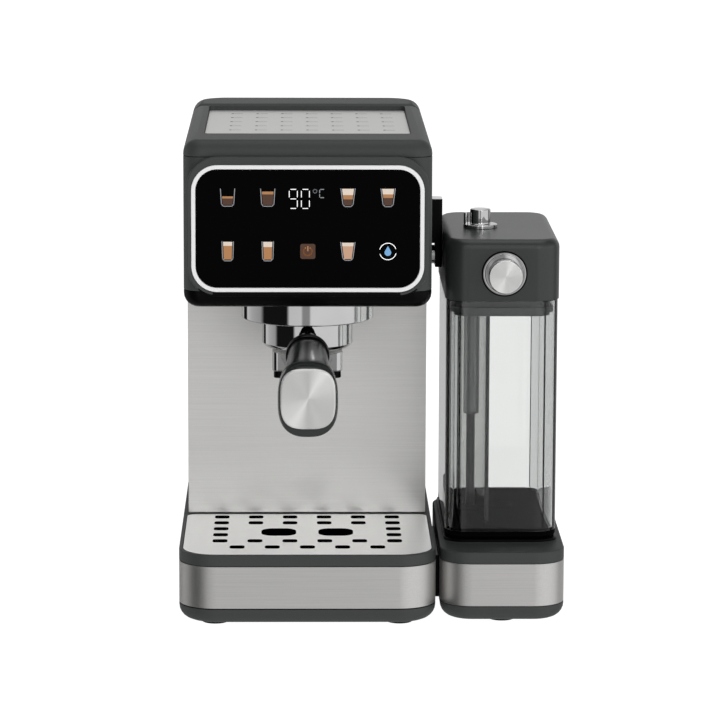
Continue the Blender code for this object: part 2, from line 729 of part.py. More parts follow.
def build_tray():
    """Pull-out tub, its band, and the lift-off grate."""
    half = BASE_HALF
    low = (-half, 0, PAN_TOP + GAP)
    high = (half, TRAY_DEPTH, BASE_TOP - GAP)
    tub = add_part("tray_tub", block(low, high, front=BASE_CORNER), "charcoal_plastic", TRAY)
    well_low = (low[0] + TRAY_WALL, TRAY_WALL, low[2] + TRAY_FLOOR)
    well_high = (high[0] - TRAY_WALL, TRAY_DEPTH - TRAY_WALL, BASE_TOP + CUT_PAST)
    inner = BASE_CORNER - TRAY_WALL
    combine(tub, add_cutter("tray_well", block(well_low, well_high, front=inner, back=TRAY_BACK_CORNER)))
    ledge_low = (low[0] + TRAY_RIM, TRAY_RIM, BASE_TOP - TRAY_LEDGE)
    ledge_high = (high[0] - TRAY_RIM, TRAY_DEPTH - TRAY_RIM, BASE_TOP + CUT_PAST)
    ledge = block(ledge_low, ledge_high, front=BASE_CORNER - TRAY_RIM, back=TRAY_BACK_CORNER)
    combine(tub, add_cutter("tray_ledge", ledge))
    band_low = (-half, 0, PAN_TOP + 2 * GAP)
    band_high = (half, TRAY_DEPTH, BAND_TOP)
    cut_band_groove(tub, band_low, band_high, BASE_CORNER, 0, below=CUT_PAST, past_back=True)
    steel_band("tray_band", band_low, band_high, BASE_CORNER, 0, TRAY, past_back=True)
    seat = BASE_TOP - TRAY_LEDGE + GAP
    plate_low = (ledge_low[0] + GAP, ledge_low[1] + GAP, seat)
    plate_high = (ledge_high[0] - GAP, ledge_high[1] - GAP, seat + GRATE_THICK)
    corner = BASE_CORNER - TRAY_RIM - GAP
    plate = block(plate_low, plate_high, front=corner, back=TRAY_BACK_CORNER - GAP)
    grate = add_part("tray_grate", plate, "brushed_steel", TRAY)
    combine(grate, add_cutter("grate_slots", slot_pattern(seat - CUT_PAST, seat + CUT_PAST)))


def slot_pattern(low, high):
    """The cutters for the grate's rows of slots and its two drain holes."""
    shape = bmesh.new()
    half = SLOT_SIZE / 2
    for row in range(SLOT_ROWS):
        y = SLOT_FRONT_ROW + row * SLOT_PITCH_Y
        beside_drains = abs(y - GROUP_Y) < DRAIN_RADIUS + half
        count = SLOT_COLUMNS - 1 if row == 0 else SLOT_COLUMNS
        for column in range(count):
            x = (column - (count - 1) / 2) * SLOT_PITCH_X
            if beside_drains and 0 < column < count - 1:
                continue
            corner_low = (x - half, y - half, low)
            corner_high = (x + half, y + half, high)
            add_block(shape, corner_low, corner_high, front=SLOT_CORNER, back=SLOT_CORNER, segments=2)
    for side in (-1, 1):
        place = Matrix.Translation((side * DRAIN_OFFSET, GROUP_Y, (low + high) / 2))
        bmesh.ops.create_cone(
            shape,
            cap_ends=True,
            segments=24,
            radius1=DRAIN_RADIUS,
            radius2=DRAIN_RADIUS,
            depth=high - low,
            matrix=place,
        )
    return mesh_from(shape, "slots")


def build_column():
    """Splash-back, rear housing, and what it holds."""
    foot = BASE_TOP + GAP
    top = HEAD_BOTTOM - GAP
    front = TRAY_DEPTH + GAP
    sheet_low = (-COLUMN_HALF, front, foot)
    sheet_high = (COLUMN_HALF, front + SHEET, top)
    add_part("splash_back", block(sheet_low, sheet_high), "brushed_steel")
    shell_front = front + SHEET + GAP
    shell = block((-COLUMN_HALF, shell_front, foot), (COLUMN_HALF, COLUMN_BACK, top))
    housing = add_part("rear_housing", shell, "charcoal_plastic")
    room_low = (-COLUMN_HALF + COLUMN_WALL, shell_front - CUT_PAST, foot + COLUMN_WALL)
    room_high = (COLUMN_HALF - COLUMN_WALL, COLUMN_BACK - COLUMN_WALL, top + CUT_PAST)
    combine(housing, add_cutter("housing_room", block(room_low, room_high)))
    floor = room_low[2] + GAP
    pump = rod(PUMP_RADIUS, PUMP_LENGTH, "X", segments=28)
    add_part("pump", pump, "brushed_steel", place=(0, PUMP_Y, PUMP_Z))
    cradle_low = (-CRADLE_HALF_LENGTH, PUMP_Y - CRADLE_HALF_DEPTH, floor)
    cradle_high = (CRADLE_HALF_LENGTH, PUMP_Y + CRADLE_HALF_DEPTH, PUMP_Z)
    cradle = add_part("pump_bracket", block(cradle_low, cradle_high), "aluminium")
    saddle = rod(PUMP_RADIUS + GAP, PUMP_LENGTH, "X", segments=28)
    combine(cradle, add_cutter("pump_saddle", saddle, place=(0, PUMP_Y, PUMP_Z)))
    wall = room_high[1] - GAP
    board_foot = PUMP_Z + PUMP_RADIUS + POWER_BOARD_ABOVE_PUMP
    board_low = (-POWER_BOARD_HALF, wall - POWER_BOARD_THICK, board_foot)
    board_high = (POWER_BOARD_HALF, wall, HEAD_BOTTOM - POWER_BOARD_BELOW_HEAD)
    add_part("power_board", block(board_low, board_high), "board_green")
    inlet = -PUMP_LENGTH / 2 - HOSE_GAP
    hose(
        "suction_hose",
        [
            (0, PUMP_Y + 0.036, floor + HOSE_GAP),
            (-0.004, PUMP_Y + 0.036, PUMP_Z - 0.028),
            (-0.040, PUMP_Y + 0.028, PUMP_Z - 0.014),
            (-0.056, PUMP_Y + 0.010, PUMP_Z - 0.002),
            (inlet - 0.010, PUMP_Y, PUMP_Z),
            (inlet, PUMP_Y, PUMP_Z),
        ],
        HOSE_RADIUS,
        "silicone",
    )
    outlet = -inlet
    riser = BLOCK_LOW + BLOCK_HEIGHT / 2
    hose(
        "pressure_hose",
        [
            (outlet, PUMP_Y, PUMP_Z),
            (outlet + 0.004, PUMP_Y, PUMP_Z),
            (outlet + 0.010, PUMP_Y, PUMP_Z),
            (0.058, PUMP_Y + 0.002, PUMP_Z + 0.028),
            (0.052, PUMP_Y + 0.002, HEAD_BOTTOM - 0.023),
            (0.030, PUMP_Y - 0.016, riser - 0.004),
            (0.020, BLOCK_BACK + 0.017, riser),
            (0.020, BLOCK_BACK + HOSE_GAP, riser),
        ],
        HOSE_RADIUS,
        "silicone",
    )


def build_head():
    """Bottom cover, shell, top cover and warming plate."""
    low = (-HEAD_HALF, HEAD_FRONT, HEAD_BOTTOM)
    high = (HEAD_HALF, HEAD_BACK, HEAD_LOWER_SPLIT)
    inner = HEAD_CORNER - HEAD_WALL
    cover = block(low, high, front=HEAD_CORNER, bottom=HEAD_ROUND)
    bottom = add_part("head_bottom", cover, "charcoal_plastic")
    room_low = (low[0] + HEAD_WALL, low[1] + HEAD_WALL, low[2] + HEAD_WALL)
    room_high = (high[0] - HEAD_WALL, high[1] - HEAD_WALL, high[2] + CUT_PAST)
    room = block(room_low, room_high, front=inner, bottom=HEAD_ROUND - HEAD_WALL)
    combine(bottom, add_cutter("head_bottom_room", room))
    stem = upright_rod(STEM_RADIUS + 2 * GAP, low[2] - CUT_PAST, high[2])
    combine(bottom, add_cutter("stem_hole", stem, place=(0, GROUP_Y, 0)))
    side = COLUMN_HALF - PASSAGE_SIDE
    passage_low = (-side, TRAY_DEPTH + PASSAGE_FRONT, low[2] - CUT_PAST)
    passage_high = (side, COLUMN_BACK - PASSAGE_BACK, high[2])
    passage = block(passage_low, passage_high)
    combine(bottom, add_cutter("hose_passage", passage))

    shell_low = (-HEAD_HALF, HEAD_FRONT, HEAD_LOWER_SPLIT + GAP)
    shell_high = (HEAD_HALF, HEAD_BACK, HEAD_UPPER_SPLIT - GAP)
    shell = add_part("head_shell", block(shell_low, shell_high, front=HEAD_CORNER), "charcoal_plastic")
    inside = block(
        (room_low[0], room_low[1], shell_low[2] - CUT_PAST),
        (room_high[0], room_high[1], shell_high[2] + CUT_PAST),
        front=inner,
    )
    combine(shell, add_cutter("head_shell_room", inside))
    bore = rod(NOZZLE_RADIUS + GAP, 2 * NOZZLE_INSIDE, "X", segments=24)
    combine(shell, add_cutter("nozzle_hole", bore, place=(HEAD_HALF, DOCK_Y, NOZZLE_Z)))

    top_low = (-HEAD_HALF, HEAD_FRONT, HEAD_UPPER_SPLIT)
    top_high = (HEAD_HALF, HEAD_BACK, MACHINE_HEIGHT)
    cover = block(top_low, top_high, front=HEAD_CORNER, top=HEAD_ROUND)
    lid = add_part("top_cover", cover, "charcoal_plastic")
    floor = MACHINE_HEIGHT - PLATE_DEPTH
    recess_low = (-PLATE_HALF, PLATE_FRONT, floor)
    recess_high = (PLATE_HALF, PLATE_BACK, MACHINE_HEIGHT + CUT_PAST)
    recess = block(recess_low, recess_high, front=PLATE_CORNER, back=PLATE_CORNER, segments=4)
    combine(lid, add_cutter("plate_recess", recess))
    plate_low = (-PLATE_HALF + GAP, PLATE_FRONT + GAP, floor + GAP)
    plate_high = (PLATE_HALF - GAP, PLATE_BACK - GAP, floor + GAP + SHEET)
    plate = block(plate_low, plate_high, front=PLATE_CORNER, back=PLATE_CORNER, segments=4)
    add_part("warming_plate", plate, "brushed_steel")


def upright_plate(half, low, high, corner, front, back):
    """A rounded plate standing in the XZ plane between two depths."""
    shape = bmesh.new()
    add_block(shape, (-half, low, -back), (half, high, -front), front=corner, back=corner, segments=7)
    upright = Matrix.Rotation(math.pi / 2, 3, "X")
    bmesh.ops.rotate(shape, cent=(0, 0, 0), matrix=upright, verts=shape.verts)
    return mesh_from(shape, "plate")


def build_display():
    """Surround, pale frame, glass and board on the head's front."""
    outer = SURROUND
    back = HEAD_FRONT + HEAD_CORNER
    surround = upright_plate(
        FRAME_HALF + outer, FRAME_LOW - outer, FRAME_HIGH + SURROUND_TOP, FRAME_CORNER + outer, GAP, back
    )
    bezel = add_part("display_bezel", surround, "charcoal_plastic")
    body_low, body_high = grown(
        (-HEAD_HALF, HEAD_FRONT, HEAD_BOTTOM), (HEAD_HALF, HEAD_BACK, MACHINE_HEIGHT), GAP, GAP
    )
    combine(bezel, add_cutter("head_body", block(body_low, body_high, front=HEAD_CORNER + GAP)))
    window = upright_plate(
        FRAME_HALF + GAP, FRAME_LOW - GAP, FRAME_HIGH + GAP, FRAME_CORNER + GAP, -CUT_PAST, back
    )
    combine(bezel, add_cutter("frame_window", window))

    seat = HEAD_FRONT - GAP
    ring = upright_plate(FRAME_HALF, FRAME_LOW, FRAME_HIGH, FRAME_CORNER, 0, seat)
    frame = add_part("display_frame", ring, "pale_plastic")
    half = FRAME_HALF - FRAME_WIDTH
    low = FRAME_LOW + FRAME_WIDTH
    high = FRAME_HIGH - FRAME_WIDTH
    corner = FRAME_CORNER - FRAME_WIDTH
    hole = upright_plate(half, low, high, corner, -CUT_PAST, seat + CUT_PAST)
    combine(frame, add_cutter("glass_window", hole))
    glass = upright_plate(
        half - GAP,
        low + GAP,
        high - GAP,
        corner - GAP,
        GLASS_SET_BACK,
        GLASS_SET_BACK + GLASS_THICK - GAP,
    )
    add_part("display_glass", glass, "black_glass")
    board_front = GLASS_SET_BACK + GLASS_THICK
    board = upright_plate(
        half - BOARD_INSET,
        low + BOARD_INSET,
        high - BOARD_INSET,
        corner - BOARD_INSET,
        board_front,
        min(board_front + BOARD_THICK, seat),
    )
    add_part("display_board", board, "board_green")


def build_group():
    """Collar with its bayonet ledges, thermoblock, gasket, screen and screw."""
    axis = (0, GROUP_Y, 0)
    top = HEAD_BOTTOM - GAP
    collar = turned(
        "group_collar",
        [
            (COLLAR_RADIUS, top),
            (COLLAR_RADIUS, COLLAR_BOTTOM + COLLAR_EDGE),
            (COLLAR_RADIUS - COLLAR_EDGE, COLLAR_BOTTOM),
            (COLLAR_BORE, COLLAR_BOTTOM),
            (COLLAR_BORE, LEDGE_TOP),
            (COLLAR_GROOVE, LEDGE_TOP),
            (COLLAR_GROOVE, STEM_BOTTOM),
            (STEM_RADIUS + 2 * GAP, STEM_BOTTOM),
            (STEM_RADIUS + 2 * GAP, top),
        ],
        "chrome",
        place=axis,
        steps=40,
    )
    for start in (UNLOCK_ANGLE, UNLOCK_ANGLE + math.pi):
        low = (COLLAR_BORE - CUT_PAST, -LUG_ENTRY_WIDTH / 2, COLLAR_BOTTOM - CUT_PAST)
        high = (COLLAR_GROOVE, LUG_ENTRY_WIDTH / 2, LEDGE_TOP + LUG_HEIGHT)
        entry = add_cutter("lug_entry", block(low, high), place=axis, turn=(0, 0, start))
        combine(collar, entry)

    stem = upright_rod(STEM_RADIUS, STEM_BOTTOM, BLOCK_LOW)
    heater = add_part("thermoblock", stem, "aluminium", place=axis)
    floor = HEAD_BOTTOM + HEAD_WALL + GAP
    plinth = upright_rod(STEM_RADIUS + STEM_FLANGE, floor, BLOCK_LOW + BLOCK_MARGIN)
    combine(heater, add_cutter("stem_flange", plinth, place=axis), "UNION")
    body_low = (-BLOCK_HALF, BLOCK_BACK - BLOCK_DEPTH, BLOCK_LOW)
    body_high = (BLOCK_HALF, BLOCK_BACK, BLOCK_HIGH)
    body = block(body_low, body_high, front=BLOCK_CORNER, back=BLOCK_CORNER, segments=3)
    combine(heater, add_cutter("heater_body", body), "UNION")
    bore = upright_rod(SCREW_RADIUS + GAP, STEM_BOTTOM - CUT_PAST, BLOCK_LOW, 20)
    combine(heater, add_cutter("screw_bore", bore, place=axis))

    turned(
        "group_gasket",
        [
            (GASKET_OUTER, STEM_BOTTOM - GAP),
            (GASKET_OUTER, GASKET_BOTTOM),
            (GASKET_INNER, GASKET_BOTTOM),
            (GASKET_INNER, STEM_BOTTOM - GAP),
        ],
        "silicone",
        place=axis,
    )
    turned(
        "shower_screen",
        [
            (SCREEN_RADIUS, STEM_BOTTOM - GAP),
            (SCREEN_RADIUS, SCREEN_BOTTOM),
            (SCREW_RADIUS + GAP, SCREEN_BOTTOM),
            (SCREW_RADIUS + GAP, SCREEN_BOTTOM + SHEET),
            (SCREEN_RADIUS - SHEET, SCREEN_BOTTOM + SHEET),
            (SCREEN_RADIUS - SHEET, STEM_BOTTOM - GAP),
        ],
        "brushed_steel",
        place=axis,
    )
    turned(
        "shower_screw",
        [
            (0, BLOCK_LOW - SCREW_TIP_GAP),
            (SCREW_RADIUS, BLOCK_LOW - SCREW_TIP_GAP),
            (SCREW_RADIUS, SCREEN_BOTTOM - GAP),
            (SCREW_HEAD, SCREEN_BOTTOM - GAP),
            (SCREW_HEAD - SCREW_HEAD_HEIGHT, SCREEN_BOTTOM - GAP - SCREW_HEAD_HEIGHT),
            (0, SCREEN_BOTTOM - GAP - SCREW_HEAD_HEIGHT),
        ],
        "brushed_steel",
        place=axis,
        steps=20,
    )
    valve_low = BLOCK_HIGH + GAP
    turned(
        "solenoid_valve",
        [
            (0, valve_low + VALVE_HEIGHT),
            (VALVE_NECK_RADIUS, valve_low + VALVE_HEIGHT),
            (VALVE_NECK_RADIUS, valve_low + COIL_HIGH),
            (COIL_RADIUS, valve_low + COIL_HIGH),
            (COIL_RADIUS, valve_low + COIL_LOW),
            (VALVE_FOOT_RADIUS, valve_low + COIL_LOW),
            (VALVE_FOOT_RADIUS, valve_low),
            (0, valve_low),
        ],
        "black_plastic",
        place=(VALVE_X, VALVE_Y, 0),
        steps=24,
    )


def build_portafilter():
    """Body with lugs, basket, spouts, ferrule, stud, grip and cap."""
    axis = (0, GROUP_Y, 0)
    neck_foot = SPOUT_HIGH - SPOUT_NOTCH * (1 - SPOUT_NECK / SPOUT_HALF) + GAP
    body = turned(
        "portafilter_body",
        [
            (RING_RADIUS, RING_TOP),
            (RING_RADIUS, RING_BOTTOM + RING_CHAMFER),
            (RING_RADIUS - RING_CHAMFER, RING_BOTTOM),
            (SPOUT_NECK, RING_BOTTOM),
            (SPOUT_NECK, neck_foot),
            (SPOUT_NECK - SPOUT_NECK_WALL, neck_foot),
            (SPOUT_NECK - SPOUT_NECK_WALL, RING_FLOOR),
            (RING_BORE, RING_FLOOR),
            (RING_BORE, RING_TOP),
        ],
        "chrome",
        PORTAFILTER,
        place=axis,
    )
    lugs = add_cutter("lugs", lug_pair(), place=axis)
    combine(body, lugs, "UNION")
    root = (0, GROUP_Y - RING_RADIUS, HANDLE_Z)
    slope = (HANDLE_SLOPE, 0, 0)
    neck = rod(NECK_RADIUS, NECK_END + NECK_ROOT, "Y", segments=28)
    neck.transform(Matrix.Translation((0, (NECK_ROOT - NECK_END) / 2, 0)))
    combine(body, add_cutter("neck", neck, place=root, turn=slope), "UNION")

    rim = RING_TOP + GAP
    turned(
        "filter_basket",
        [
            (BASKET_FLANGE, rim + BASKET_SHEET),
            (BASKET_FLANGE, rim),
            (BASKET_RADIUS, rim),
            (BASKET_RADIUS - BASKET_TAPER, BASKET_BOTTOM),
            (0, BASKET_BOTTOM),
            (0, BASKET_BOTTOM + BASKET_SHEET),
            (BASKET_RADIUS - BASKET_TAPER - BASKET_SHEET, BASKET_BOTTOM + BASKET_SHEET),
            (BASKET_RADIUS - BASKET_SHEET, rim + BASKET_SHEET),
        ],
        "brushed_steel",
        PORTAFILTER,
        place=axis,
    )

    spout_low = (-SPOUT_HALF, GROUP_Y - SPOUT_DEPTH / 2, SPOUT_LOW)
    spout_high = (SPOUT_HALF, GROUP_Y + SPOUT_DEPTH / 2, SPOUT_HIGH)
    spout = block(spout_low, spout_high, front=SPOUT_CORNER, back=SPOUT_CORNER, segments=4)
    trough = add_part("spout_block", spout, "chrome", PORTAFILTER)
    slope_angle = math.atan2(SPOUT_NOTCH, SPOUT_HALF)
    for side in (-1, 1):
        reach = sorted((-side * CUT_PAST / 2, side * 2 * SPOUT_HALF))
        wedge = block((reach[0], -SPOUT_DEPTH, 0), (reach[1], SPOUT_DEPTH, SPOUT_DEPTH))
        place = (0, GROUP_Y, SPOUT_HIGH - SPOUT_NOTCH)
        combine(trough, add_cutter("spout_slope", wedge, place=place, turn=(0, -side * slope_angle, 0)))
    for name, side in (("spout_tip_left", -1), ("spout_tip_right", 1)):
        tip = rod(TIP_RADIUS, TIP_LENGTH, segments=24)
        middle = SPOUT_LOW - GAP - TIP_LENGTH / 2
        add_part(name, tip, "black_plastic", PORTAFILTER, place=(side * TIP_OFFSET, GROUP_Y, middle))

    lying = (HANDLE_SLOPE + math.pi / 2, 0, 0)
    turned(
        "handle_ferrule",
        [
            (FERRULE_RADIUS, FERRULE_END),
            (FERRULE_RADIUS, NECK_END + GAP + FERRULE_EDGE),
            (FERRULE_RADIUS - FERRULE_EDGE, NECK_END + GAP),
            (STUD_RADIUS + GAP, NECK_END + GAP),
            (STUD_RADIUS + GAP, FERRULE_END),
        ],
        "black_plastic",
        PORTAFILTER,
        place=root,
        turn=lying,
        steps=28,
    )
    stud_length = STUD_END - NECK_END - GAP
    stud = rod(STUD_RADIUS, stud_length, "Y", segments=20)
    stud.transform(Matrix.Translation((0, -(NECK_END + GAP + stud_length / 2), 0)))
    add_part("handle_stud", stud, "brushed_steel", PORTAFILTER, place=root, turn=slope)

    upright = math.tan(HANDLE_SLOPE)
    sections = []
    for along, flare in ((0, 0), (0.15, 0.08), (0.40, 0.36), (0.65, 0.70), (0.85, 1), (0.95, 1)):
        half_width = GRIP_NECK + flare * (GRIP_HALF_WIDTH - GRIP_NECK)
        half_height = GRIP_NECK + flare * (GRIP_HALF_HEIGHT - GRIP_NECK)
        sections.append((GRIP_START + along * GRIP_LENGTH, half_width, half_height, 0.0, flare * upright))
    sections.append((GRIP_END, GRIP_HALF_WIDTH - GRIP_EDGE, GRIP_HALF_HEIGHT - GRIP_EDGE, 0.0, upright))
    shape = loft(sections, 2.6)
    grip = add_part("handle_grip", shape, "charcoal_plastic", PORTAFILTER, place=root, turn=slope)
    hole = rod(STUD_RADIUS + GAP, STUD_END, "Y", segments=20)
    hole.transform(Matrix.Translation((0, -(STUD_END / 2 + 2 * GAP), 0)))
    combine(grip, add_cutter("stud_hole", hole, place=root, turn=slope))
    face = GRIP_END + GAP
    cap_sections = [
        (face, CAP_HALF_WIDTH, CAP_HALF_HEIGHT, CAP_RAISE, upright),
        (face + 0.6 * CAP_THICK, CAP_HALF_WIDTH, CAP_HALF_HEIGHT, CAP_RAISE, upright),
        (face + CAP_THICK, CAP_HALF_WIDTH - CAP_EDGE, CAP_HALF_HEIGHT - CAP_EDGE, CAP_RAISE, upright),
    ]
    cap = loft(cap_sections, 3.2, 36)
    add_part("handle_cap", cap, "brushed_steel", PORTAFILTER, place=root, turn=slope)


def lug_pair():
    """Two bayonet lugs as sectors of one ring, left and right of the axis."""
    shape = bmesh.new()
    inner = RING_RADIUS - RING_WALL / 4
    low = RING_TOP - LUG_HEIGHT - GAP
    for centre in (0, math.pi):
        corners = []
        for radius, steps in ((inner, range(5)), (LUG_RADIUS, range(4, -1, -1))):
            for step in steps:
                angle = centre + LUG_ANGLE * (step / 4 - 0.5)
                corners.append(shape.verts.new((radius * math.cos(angle), radius * math.sin(angle), low)))
        face = shape.faces.new(corners)
        raised = bmesh.ops.extrude_face_region(shape, geom=[face])["geom"]
        lifted = [item for item in raised if isinstance(item, bmesh.types.BMVert)]
        bmesh.ops.translate(shape, vec=(0, 0, LUG_HEIGHT), verts=lifted)
    return mesh_from(shape, "lugs")


def build_water():
    """Rear water tank, its valve and seat, and the hinged lid."""
    low = (-WATER_HALF, WATER_FRONT, BASE_TOP + GAP)
    high = (WATER_HALF, WATER_BACK, WATER_TOP)
    body = block(low, high, front=WATER_CORNER, back=WATER_CORNER, segments=4)
    tank = add_part("water_tank", body, "clear_plastic", WATER)
    room_low = (low[0] + WATER_WALL, low[1] + WATER_WALL, low[2] + WATER_WALL)
    room_high = (high[0] - WATER_WALL, high[1] - WATER_WALL, high[2] + CUT_PAST)
    inner = WATER_CORNER - WATER_WALL
    combine(tank, add_cutter("water_room", block(room_low, room_high, front=inner, back=inner, segments=4)))
    bore = upright_rod(VALVE_STEM + GAP, low[2] - CUT_PAST, room_low[2] + CUT_PAST, 24)
    combine(tank, add_cutter("valve_bore", bore, place=(0, WATER_Y, 0)))
    seat_top = BASE_TOP - GAP
    turned(
        "water_seat",
        [
            (SEAT_RADIUS, seat_top),
            (SEAT_RADIUS, seat_top - SEAT_DEPTH + GAP),
            (0, seat_top - SEAT_DEPTH + GAP),
            (0, seat_top - SEAT_DEPTH + SEAT_FLOOR),
            (VALVE_STEM + 2 * GAP, seat_top - SEAT_DEPTH + SEAT_FLOOR),
            (VALVE_STEM + 2 * GAP, seat_top),
        ],
        "silicone",
        place=(0, WATER_Y, 0),
        steps=24,
    )
    floor = room_low[2] + GAP
    turned(
        "water_valve",
        [
            (0, floor + 2 * VALVE_DISC),
            (VALVE_RADIUS - VALVE_DISC, floor + 2 * VALVE_DISC),
            (VALVE_RADIUS, floor + VALVE_DISC),
            (VALVE_RADIUS, floor),
            (VALVE_STEM, floor),
            (VALVE_STEM, seat_top - VALVE_PLUG),
            (0, seat_top - VALVE_PLUG),
        ],
        "silicone",
        WATER,
        place=(0, WATER_Y, 0),
        steps=24,
    )
    lid_low = (-HEAD_HALF, HEAD_BACK + 2 * GAP, WATER_TOP + GAP)
    lid_high = (HEAD_HALF, WATER_LID_BACK, MACHINE_HEIGHT)
    lid_body = block(lid_low, lid_high, back=BACK_CORNER, top=HEAD_ROUND)
    lid = add_part("water_tank_lid", lid_body, "charcoal_plastic", LID_HINGE)
    wall = WATER_LID_WALL
    hollow_low = (lid_low[0] + wall, lid_low[1] + wall, lid_low[2] - CUT_PAST)
    hollow_high = (lid_high[0] - wall, lid_high[1] - wall, lid_high[2] - wall)
    hollow = block(hollow_low, hollow_high, back=BACK_CORNER - wall, top=HEAD_ROUND - wall)
    combine(lid, add_cutter("lid_hollow", hollow))


def build_dock():
    """Docking block and steam nozzle on the head's right side."""
    side = HEAD_HALF + GAP
    front = DOCK_Y - DOCK_HALF_DEPTH
    back = DOCK_Y + DOCK_HALF_DEPTH
    corners = {"front": DOCK_CORNER, "back": DOCK_CORNER, "segments": 3}
    body = block((side, front, DOCK_LOW), (DOCK_REACH, back, DOCK_HIGH), **corners)
    dock = add_part("dock_housing", body, "black_plastic")
    notch_low = (side - CUT_PAST, front - CUT_PAST, DOCK_LOW - CUT_PAST)
    notch_high = (side + DOCK_NOTCH, back + CUT_PAST, DOCK_NOTCH_TOP)
    combine(dock, add_cutter("dock_notch", block(notch_low, notch_high)))
    bore = rod(NOZZLE_RADIUS + GAP, 2 * (DOCK_REACH - side), "X", segments=24)
    combine(dock, add_cutter("dock_bore", bore, place=(DOCK_REACH, DOCK_Y, NOZZLE_Z)))
    flange = NOZZLE_RADIUS + NOZZLE_FLANGE
    turned(
        "steam_nozzle",
        [
            (NOZZLE_RADIUS, DOCK_REACH),
            (NOZZLE_RADIUS, side + DOCK_NOTCH - GAP),
            (flange, side + DOCK_NOTCH - GAP),
            (flange, side),
            (NOZZLE_RADIUS, side),
            (NOZZLE_RADIUS, NOZZLE_START),
            (NOZZLE_BORE, NOZZLE_START),
            (NOZZLE_BORE, DOCK_REACH),
        ],
        "chrome",
        place=(0, DOCK_Y, NOZZLE_Z),
        turn=(0, math.pi / 2, 0),
        steps=24,
    )
    valve_top = BLOCK_HIGH + VALVE_HEIGHT + GAP + HOSE_GAP
    hose(
        "steam_hose",
        [
            (VALVE_X, VALVE_Y, valve_top),
            (VALVE_X + 0.002, VALVE_Y, valve_top + 0.004),
            (VALVE_X + 0.020, VALVE_Y + 0.002, valve_top + 0.004),
            (BLOCK_HALF + 0.004, VALVE_Y + 0.004, valve_top - 0.020),
            (BLOCK_HALF + 0.010, DOCK_Y, NOZZLE_Z + 0.008),
            (NOZZLE_START - 0.006, DOCK_Y, NOZZLE_Z),
            (NOZZLE_START - 0.003, DOCK_Y, NOZZLE_Z),
            (NOZZLE_START - HOSE_GAP, DOCK_Y, NOZZLE_Z),
        ],
        HOSE_RADIUS,
        "silicone",
    )


def build_milk_base():
    """Milk base with its platform and band, its feet, and the bridge to the main base."""
    low = (MILK_LEFT, MILK_FRONT, FOOT_HEIGHT)
    high = (MILK_RIGHT, MILK_BACK, BASE_TOP)
    body = block(low, high, front=MILK_CORNER, back=MILK_CORNER, bottom=BASE_HEEL, top=MILK_EDGE)
    base = add_part("milk_base", body, "charcoal_plastic")
    band_low = (low[0], low[1], PAN_TOP + GAP)
    band_high = (high[0], high[1], BAND_TOP)
    cut_band_groove(base, band_low, band_high, MILK_CORNER, MILK_CORNER)
    platform_low = (TANK_LEFT - PLATFORM_SIDE, TANK_FRONT - PLATFORM_STEP, BASE_TOP - PLATFORM_ROOT)
    platform_high = (TANK_RIGHT + PLATFORM_SIDE, TANK_BACK + PLATFORM_SIDE, PLATFORM_TOP)
    platform = block(platform_low, platform_high, front=TANK_CORNER, back=TANK_CORNER)
    combine(base, add_cutter("tank_platform", platform), "UNION")
    steel_band("milk_band", band_low, band_high, MILK_CORNER, MILK_CORNER)
    bridge_low = (BASE_HALF + GAP, BRIDGE_FRONT, PAN_TOP + GAP)
    bridge_high = (MILK_LEFT - GAP, min(BRIDGE_BACK, TRAY_DEPTH - GAP), BAND_TOP)
    add_part("base_bridge", block(bridge_low, bridge_high), "black_plastic")
    middle = (MILK_LEFT + MILK_RIGHT) / 2
    add_foot("milk_foot_front", middle, MILK_FRONT + FOOT_INSET)
    add_foot("milk_foot_rear", middle, MILK_BACK - FOOT_INSET)


def build_milk_tank():
    """Clear tank with an open top."""
    low = (TANK_LEFT, TANK_FRONT, PLATFORM_TOP + GAP)
    high = (TANK_RIGHT, TANK_BACK, TANK_TOP)
    body = block(low, high, front=TANK_CORNER, back=TANK_CORNER, bottom=TANK_HEEL)
    tank = add_part("milk_tank", body, "clear_plastic", MILK_TANK)
    room_low = (low[0] + TANK_WALL, low[1] + TANK_WALL, low[2] + TANK_FLOOR)
    room_high = (high[0] - TANK_WALL, high[1] - TANK_WALL, high[2] + CUT_PAST)
    inner = TANK_CORNER - TANK_WALL
    room = block(room_low, room_high, front=inner, back=inner, bottom=TANK_HEEL)
    combine(tank, add_cutter("tank_room", room))


